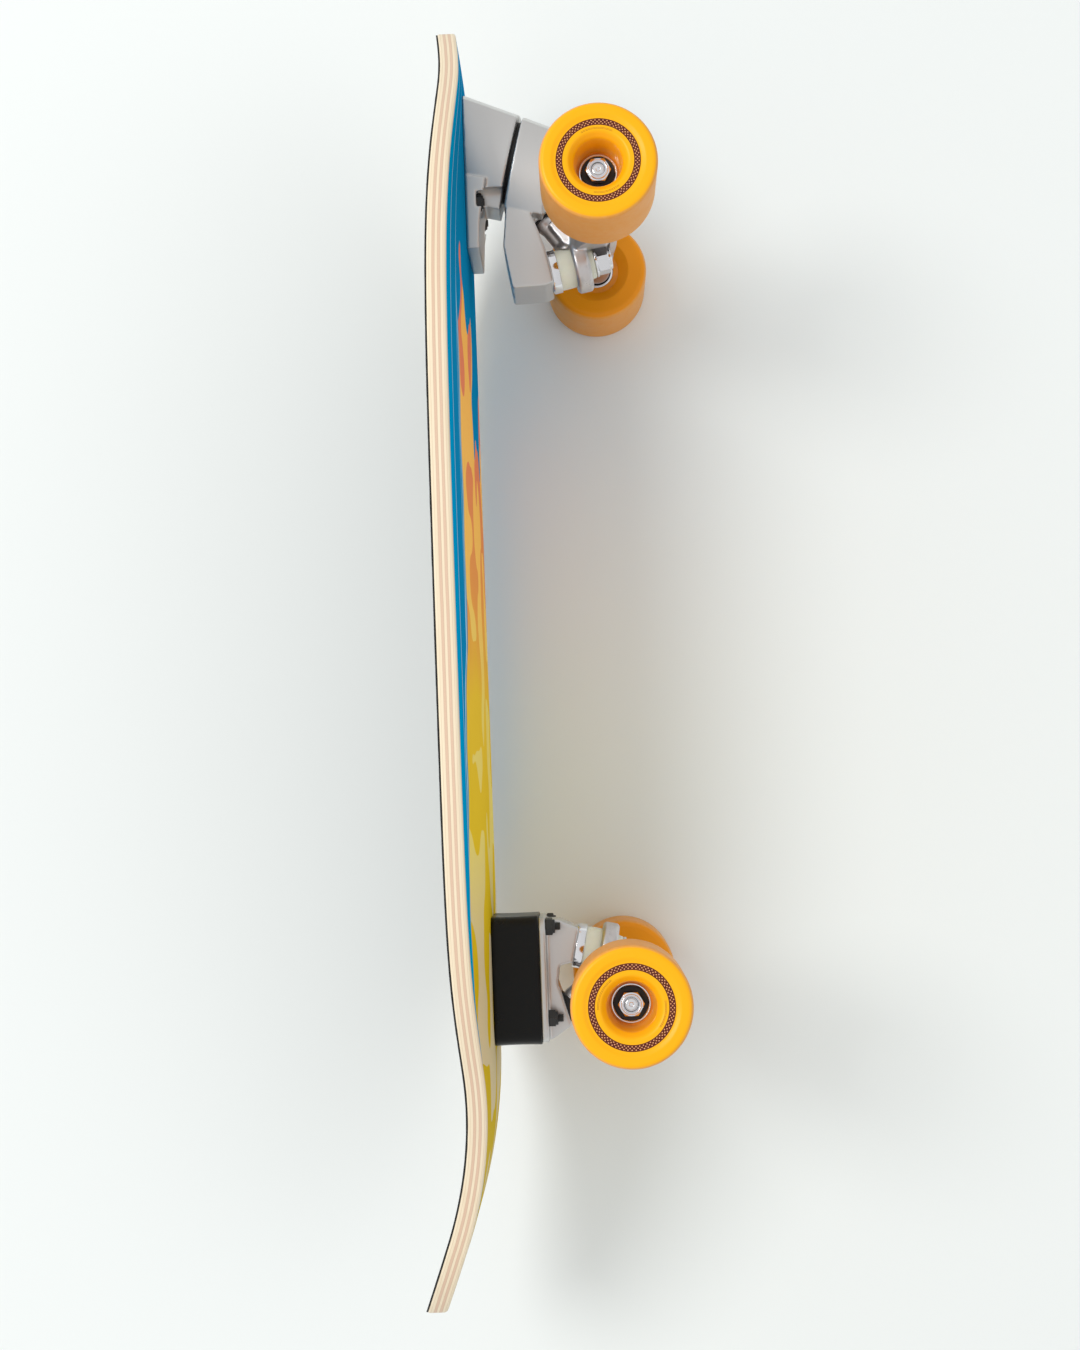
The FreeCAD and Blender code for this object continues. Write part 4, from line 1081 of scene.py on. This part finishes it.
class BOARD_OT_riser(bpy.types.Operator):
    """Build the tall moulded riser under the tail"""

    bl_idname = "board.riser"
    bl_label = "Riser"

    def execute(self, context):
        low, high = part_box("riser_pad")
        centre = (low + high) / 2
        corners = [(low.x, low.y), (high.x, low.y), (high.x, high.y), (low.x, high.y)]
        outline = rounded([(x, y, 9 * MM) for x, y in corners], 12)
        dense = []
        for index, here in enumerate(outline):
            follow = outline[(index + 1) % len(outline)]
            span = math.dist(here, follow)
            pieces = max(1, round(span / (2.5 * MM)))
            for step in range(pieces):
                dense.append(tuple(Vector(here).lerp(Vector(follow), step / pieces)))
        tall = high.z - low.z
        edge = 0.9 * MM
        angles = (0, 0.4, 0.8, 1.2, 1.5708)
        centre_mark = 1.0
        levels = [(centre_mark, low.z)]
        levels += [(edge * (1 - math.sin(a)), low.z + edge * (1 - math.cos(a))) for a in angles]
        levels += [(0.0, low.z + tall * i / 10) for i in range(1, 10)]
        levels += [(edge * (1 - math.cos(a)), high.z - edge * (1 - math.sin(a))) for a in angles]
        levels += [(centre_mark, high.z)]
        points, faces = [], []
        for inset, height in levels:
            share = (height - low.z) / tall
            belly = 0.35 * MM * math.sin(math.pi * share)
            for x, y in dense:
                out = Vector((x - centre.x, y - centre.y))
                if inset == centre_mark:
                    spot = out * 0.0
                else:
                    spot = out * (1 - (inset + belly) / out.length)
                points.append((centre.x + spot.x, centre.y + spot.y, height))
        for row in range(len(levels) - 1):
            faces += row_faces(row, len(dense))
        mesh = closed_mesh("riser_block", points, faces)
        add_piece("riser_block", mesh, ["riser_plastic"], "board", ["riser_pad"])
        return {"FINISHED"}


class BOARD_OT_castings(bpy.types.Operator):
    """Build the adapter, the rear baseplate and both hangers as worn castings"""

    bl_idname = "board.castings"
    bl_label = "Castings"

    def execute(self, context):
        cast_piece("adapter_base_casting", "adapter_base", "cast_alloy", "board")
        cast_piece("swivel_arm_casting", "swivel_arm", "cast_alloy", "swivel_arm")
        cast_piece("rear_baseplate_casting", "rear_baseplate", "cast_alloy", "board")
        for end in ENDS:
            cast_piece(end + "_hanger_casting", end + "_hanger", "polished_alloy",
                       end + "_hanger")
        return {"FINISHED"}


class BOARD_OT_swivel(bpy.types.Operator):
    """Build the swivel's thrust ring and lock nut"""

    bl_idname = "board.swivel"
    bl_label = "Swivel"

    def execute(self, context):
        row = joint("swivel")
        place = axis_frame(row["pos_m"], row["axis"])
        turned_piece("thrust_ring", place, [
            disc_outline(6.2 * MM, 25 * MM, -2.7 * MM, 0, 0.7 * MM)],
            "black_polymer", "board", ["thrust_disc"], 128)
        low = axis_frame(place @ Vector((0, 0, -19.7 * MM)), -Vector(row["axis"]))
        hexagon = nut_shell(low, 18 * MM, 5.6 * MM, 6 * MM)
        collar = tube_shell(low, 6 * MM, 7.7 * MM, 5.4 * MM, 7 * MM, 0.8 * MM, 0.3 * MM)
        joined_piece("swivel_lock_nut", [hexagon, collar], ["satin_steel"], "board",
                     ["swivel_nut"])
        return {"FINISHED"}


class BOARD_OT_steering(bpy.types.Operator):
    """Build each truck's cushions, cup washers and kingpin nut"""

    bl_idname = "board.steering"
    bl_label = "Steering stacks"

    def execute(self, context):
        for end in ENDS:
            body = "swivel_arm" if end == "front" else "board"
            row = joint(end + "_steer")
            sign = 1 if end == "front" else -1
            rise = Vector((-math.sin(KINGPIN_LEAN) * sign, 0, math.cos(KINGPIN_LEAN)))
            place = axis_frame(row["pos_m"], rise)
            hole = 4.96 * MM
            turned_piece(end + "_upper_cushion", place, [rounded([
                (hole, 2.6 * MM), (12.3 * MM, 2.6 * MM, 0.9 * MM), (12.5 * MM, 10 * MM, 6 * MM),
                (12.3 * MM, 18.2 * MM, 0.9 * MM), (hole, 18.2 * MM)])], "cushion_urethane",
                body, [end + "_upper_bushing"])
            turned_piece(end + "_lower_cushion", place, [rounded([
                (hole, -8.4 * MM), (9.6 * MM, -8.4 * MM, 0.9 * MM),
                (11.0 * MM, -2.6 * MM, 0.6 * MM), (hole, -2.6 * MM)])], "cushion_urethane",
                body, [end + "_lower_bushing"])
            cup = rounded([
                (hole, 20 * MM), (hole, 18.3 * MM), (12.6 * MM, 18.3 * MM, 0.5 * MM),
                (12.6 * MM, 14.3 * MM, 0.2 * MM), (13.5 * MM, 14.3 * MM, 0.3 * MM),
                (13.5 * MM, 20 * MM, 1.3 * MM)])
            flat = disc_outline(hole, 9.8 * MM, -10.1 * MM, -8.5 * MM, 0.4 * MM)
            turned_piece(end + "_cup_washers", place, [cup, flat], "bright_steel", body,
                         [end + "_kingpin_washers"], 128)
            low = axis_frame(place @ Vector((0, 0, -10.1 * MM)), -rise)
            pin = 4.76 * MM
            hexagon = nut_shell(low, 16 * MM, 7.4 * MM, pin)
            collar = tube_shell(low, 5.9 * MM, 6.9 * MM, 7.2 * MM, 9.2 * MM, 0.7 * MM, 0.2 * MM)
            insert = tube_shell(low, pin, 5.95 * MM, 7.0 * MM, 8.9 * MM, 0.2 * MM, 0.2 * MM)
            joined_piece(end + "_king_nut", [hexagon, collar, insert], ["bright_steel", "nylon"],
                         body, [end + "_kingpin_nut"], insert=2)
        return {"FINISHED"}


# ---------------------------------------------------------------- axles and wheels

def side_frames(end):
    """For each side of a truck: a frame on the axle whose along runs outwards."""
    centre = AXLE[end]
    return {"left": axis_frame(centre, (0, 1, 0)), "right": axis_frame(centre, (0, -1, 0))}


class BOARD_OT_axles(bpy.types.Operator):
    """Build each truck's threaded axle, speed washers and axle nuts"""

    bl_idname = "board.axles"
    bl_label = "Axles and nuts"

    def execute(self, context):
        for end in ENDS:
            body = end + "_hanger"
            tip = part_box(end + "_axle")[1].y
            radius = 3.97 * MM
            thick = 1.1 * MM
            seat = 110.2 * MM
            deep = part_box(end + "_axle_nuts")[1].y - seat
            rods, washers, nuts = [], [], []
            for place in side_frames(end).values():
                rods.append(thread_shell(place, radius, 0.35 * MM, 1.06 * MM, 102 * MM,
                                         tip - 0.5 * MM, 48))
                rods.append(ring_shell(place, [rounded([
                    (0, tip - 2 * MM), (3.3 * MM, tip - 2 * MM), (3.3 * MM, tip, 0.5 * MM),
                    (1.3 * MM, tip, 0.25 * MM), (0.7 * MM, tip - 0.9 * MM),
                    (0, tip - 1.1 * MM)])], 48))
                washers.append(ring_shell(place, [
                    disc_outline(4 * MM, 5.4 * MM, start, start + thick, 0.15 * MM)
                    for start in (84 * MM, 109.1 * MM)], 64))
                base = place @ Matrix.Translation((0, 0, seat))
                nuts += [
                    nut_shell(base, 12.7 * MM, 4.6 * MM, radius),
                    tube_shell(base, 4.6 * MM, 5.6 * MM, 4.4 * MM, deep, 0.7 * MM, 0.25 * MM),
                    tube_shell(base, radius, 4.65 * MM, 4.0 * MM, deep - 0.3 * MM,
                               0.15 * MM, 0.15 * MM)]
            rods.append(ring_shell(axis_frame(AXLE[end], (0, 1, 0)), [
                disc_outline(0, radius, -102.2 * MM, 102.2 * MM, 0.2 * MM)], 48))
            for part, shells, node in (("_axle_rod", rods, "_axle"),
                                       ("_thin_washers", washers, "_speed_washers")):
                joined_piece(end + part, shells, ["bright_steel"], body,
                             [end + node])
            joined_piece(end + "_wheel_nuts", nuts, ["bright_steel", "nylon"], body,
                         [end + "_axle_nuts"], insert=2)
        return {"FINISHED"}


class BOARD_OT_wheels(bpy.types.Operator):
    """Build the four wheels with their bearings"""

    bl_idname = "board.wheels"
    bl_label = "Wheels and bearings"

    def execute(self, context):
        wheels = settings().wheels
        radius, lip = wheels.radius, wheels.lip
        outer, inner = WHEEL_FACE, WHEEL_INNER
        printed = outer - wheels.recess
        first, last = 85.1 * MM, 109.1 * MM
        width = 7 * MM
        turns = {"front_left": 0.4, "front_right": 0.55, "rear_left": 2.0, "rear_right": -0.55}
        profile = rounded([
            (14.5 * MM, first), (16.5 * MM, first + 5 * MM), (16.5 * MM, last - 5 * MM),
            (14.5 * MM, last), (11.75 * MM, last, 0.2 * MM), (12.4 * MM, last + 8 * MM, 6 * MM),
            (13.6 * MM, outer - 4.6 * MM, 4 * MM), (17.0 * MM, printed - 0.1 * MM, 2.4 * MM),
            (24.2 * MM, printed, 3 * MM), (26.4 * MM, outer, 3 * MM),
            (radius, outer, lip), (radius, inner, lip), (21 * MM, inner, 1.5 * MM),
            (16 * MM, first - 1.2 * MM, 0.6 * MM)], 10)
        outer_race = [rounded([
            (9.55 * MM, a), (10.9 * MM, a, 0.45 * MM), (10.98 * MM, a + width, 0.45 * MM),
            (10.1 * MM, a + width, 0.15 * MM), (9.55 * MM, a + width - 0.35 * MM)])
            for a in (first, last - width)]
        shield = []
        for a, sign in ((first + 0.25 * MM, 1), (first + width - 0.25 * MM, -1),
                        (last - width + 0.25 * MM, 1), (last - 0.25 * MM, -1)):
            shield.append(rounded([
                (5.7 * MM, a + sign * 0.15 * MM), (6.6 * MM, a, 0.3 * MM),
                (7.0 * MM, a + sign * 0.12 * MM, 0.3 * MM), (8.7 * MM, a + sign * 0.12 * MM, 0.3 * MM),
                (9.1 * MM, a, 0.3 * MM), (9.55 * MM, a + sign * 0.1 * MM),
                (9.55 * MM, a + sign * 0.6 * MM), (5.7 * MM, a + sign * 0.6 * MM)]))
        for end in ENDS:
            for side, place in side_frames(end).items():
                name = end + "_" + side
                body = name + "_wheel"
                points, faces = ring_shell(place, [profile], 192)
                turn = turns[name]
                local = place.inverted()
                spots = []
                for point in points:
                    spot = local @ point
                    spots.append((spot.x * math.cos(turn) - spot.y * math.sin(turn),
                                  spot.x * math.sin(turn) + spot.y * math.cos(turn), spot.z))
                mesh = closed_mesh(name + "_moulding", points, faces, {"wheel_spot": spots})
                add_piece(name + "_moulding", mesh, ["wheel_urethane"], body,
                          [name + "_tyre"], sharp=50)
                turned_piece(name + "_races", place, outer_race, "bright_steel", body,
                             [name + "_outer_races"], 96)
                turned_piece(name + "_seals", place, shield, "seal_rubber", body,
                             [name + "_bearing_shields"], 96)
        return {"FINISHED"}


# ---------------------------------------------------------------- CAD pieces that stay, stage

KEPT = {"swivel_spring": "satin_steel", "swivel_pin": "satin_steel", "swivel_bush": "bronze"}
for kept_end in ENDS:
    KEPT[kept_end + "_kingpin"] = "bright_steel"
    KEPT[kept_end + "_pivot_cup"] = "black_polymer"
    KEPT[kept_end + "_inner_races"] = "bright_steel"
    KEPT[kept_end + "_spacers"] = "satin_steel"
    for kept_side in SIDES:
        KEPT[kept_end + "_" + kept_side + "_core"] = "core_plastic"
        KEPT[kept_end + "_" + kept_side + "_bearing_balls"] = "bright_steel"


class BOARD_OT_inner(bpy.types.Operator):
    """Give the inner parts that keep their CAD shape their finishes"""

    bl_idname = "board.inner"
    bl_label = "Inner parts"

    def execute(self, context):
        for node, material in KEPT.items():
            for slot in frame["nodes"][node].material_slots:
                slot.material = finish(material)
        return {"FINISHED"}


class BOARD_OT_stage(bpy.types.Operator):
    """Set up the camera, the pale surface and the soft light"""

    bl_idname = "board.stage"
    bl_label = "Stage"

    def execute(self, context):
        stage = settings().stage
        scene = context.scene
        scene.view_settings.view_transform = "Standard"
        turn = CAMERA_TURN_DEGREES
        roll = Matrix.Rotation(math.radians(turn.length), 3, turn.normalized())
        facing = roll @ Matrix(((0, 0, -1), (-1, 0, 0), (0, 1, 0)))
        lens = bpy.data.cameras.new("camera")
        lens.sensor_fit = "HORIZONTAL"
        lens.sensor_width = 36.0
        lens.lens = stage.lens
        lens.clip_start = 0.01
        camera = new_object("camera", lens)
        axes = Matrix((facing[0], -facing[1], -facing[2])).transposed().to_4x4()
        camera.matrix_world = Matrix.Translation(CAMERA_PLACE) @ axes
        scene.camera = camera

        wall = WHEEL_FACE + stage.clearance
        reach = SURFACE_REACH
        mesh = bpy.data.meshes.new("pale_surface")
        mesh.from_pydata([(-reach, wall, -reach), (reach, wall, -reach), (reach, wall, reach),
                          (-reach, wall, reach)], [], [(0, 1, 2, 3)])
        surface = new_object("pale_surface", mesh)
        mesh.materials.append(finish("pale_surface"))

        for name, place, target, width, power, tint in LAMPS:
            light = bpy.data.lights.new(name, "AREA")
            light.shape = "DISK"
            light.size = width
            light.energy = power
            light.color = tint
            lamp = new_object(name, light)
            lamp.location = place
            aim = Vector(target) - Vector(place)
            lamp.rotation_euler = aim.to_track_quat("-Z", "Y").to_euler()
        world = bpy.data.worlds.new("studio")
        scene.world = world
        world.use_nodes = True
        background = world.node_tree.nodes["Background"]
        background.inputs["Strength"].default_value = SKY_STRENGTH
        sky = Wiring(world.node_tree)
        toward = sky.node("ShaderNodeTexCoord", {}, {}, "Generated")
        height = sky.node("ShaderNodeSeparateXYZ", {}, {0: toward}, "Z")
        fade = sky.span(height, -1.0, 1.0, SKY_BELOW, SKY_ABOVE)
        sky.tree.links.new(fade.socket, background.inputs["Color"])
        return {"FINISHED"}


# ---------------------------------------------------------------- panel and start

OPERATORS = (BOARD_OT_deck, BOARD_OT_bolts, BOARD_OT_riser, BOARD_OT_castings, BOARD_OT_swivel,
             BOARD_OT_steering, BOARD_OT_axles, BOARD_OT_wheels, BOARD_OT_inner, BOARD_OT_stage)


class BoardSettings(bpy.types.PropertyGroup):
    """Everything about the board that a user may change."""

    deck: PointerProperty(type=DeckSettings)
    metal: PointerProperty(type=MetalSettings)
    wheels: PointerProperty(type=WheelSettings)
    stage: PointerProperty(type=StageSettings)


class BOARD_PT_panel(bpy.types.Panel):
    """Lists the board's settings and the steps that build it"""

    bl_idname = "BOARD_PT_panel"
    bl_label = "Surf skateboard"
    bl_space_type = "VIEW_3D"
    bl_region_type = "UI"
    bl_category = "Board"

    def draw(self, context):
        board = context.scene.surf_board
        for group in (board.deck, board.metal, board.wheels, board.stage):
            box = self.layout.box()
            for name in group.bl_rna.properties.keys():
                if name not in ("rna_type", "name"):
                    box.prop(group, name)
        for operator in OPERATORS:
            self.layout.operator(operator.bl_idname)


CLASSES = (DeckSettings, MetalSettings, WheelSettings, StageSettings, BoardSettings,
           *OPERATORS, BOARD_PT_panel)


def register():
    for item in CLASSES:
        bpy.utils.register_class(item)
    bpy.types.Scene.surf_board = PointerProperty(type=BoardSettings)


def unregister():
    del bpy.types.Scene.surf_board
    for item in reversed(CLASSES):
        bpy.utils.unregister_class(item)


def main():
    register()
    for operator in OPERATORS:
        group, name = operator.bl_idname.split(".")
        getattr(getattr(bpy.ops, group), name)()


if __name__ == "__main__":
    main()
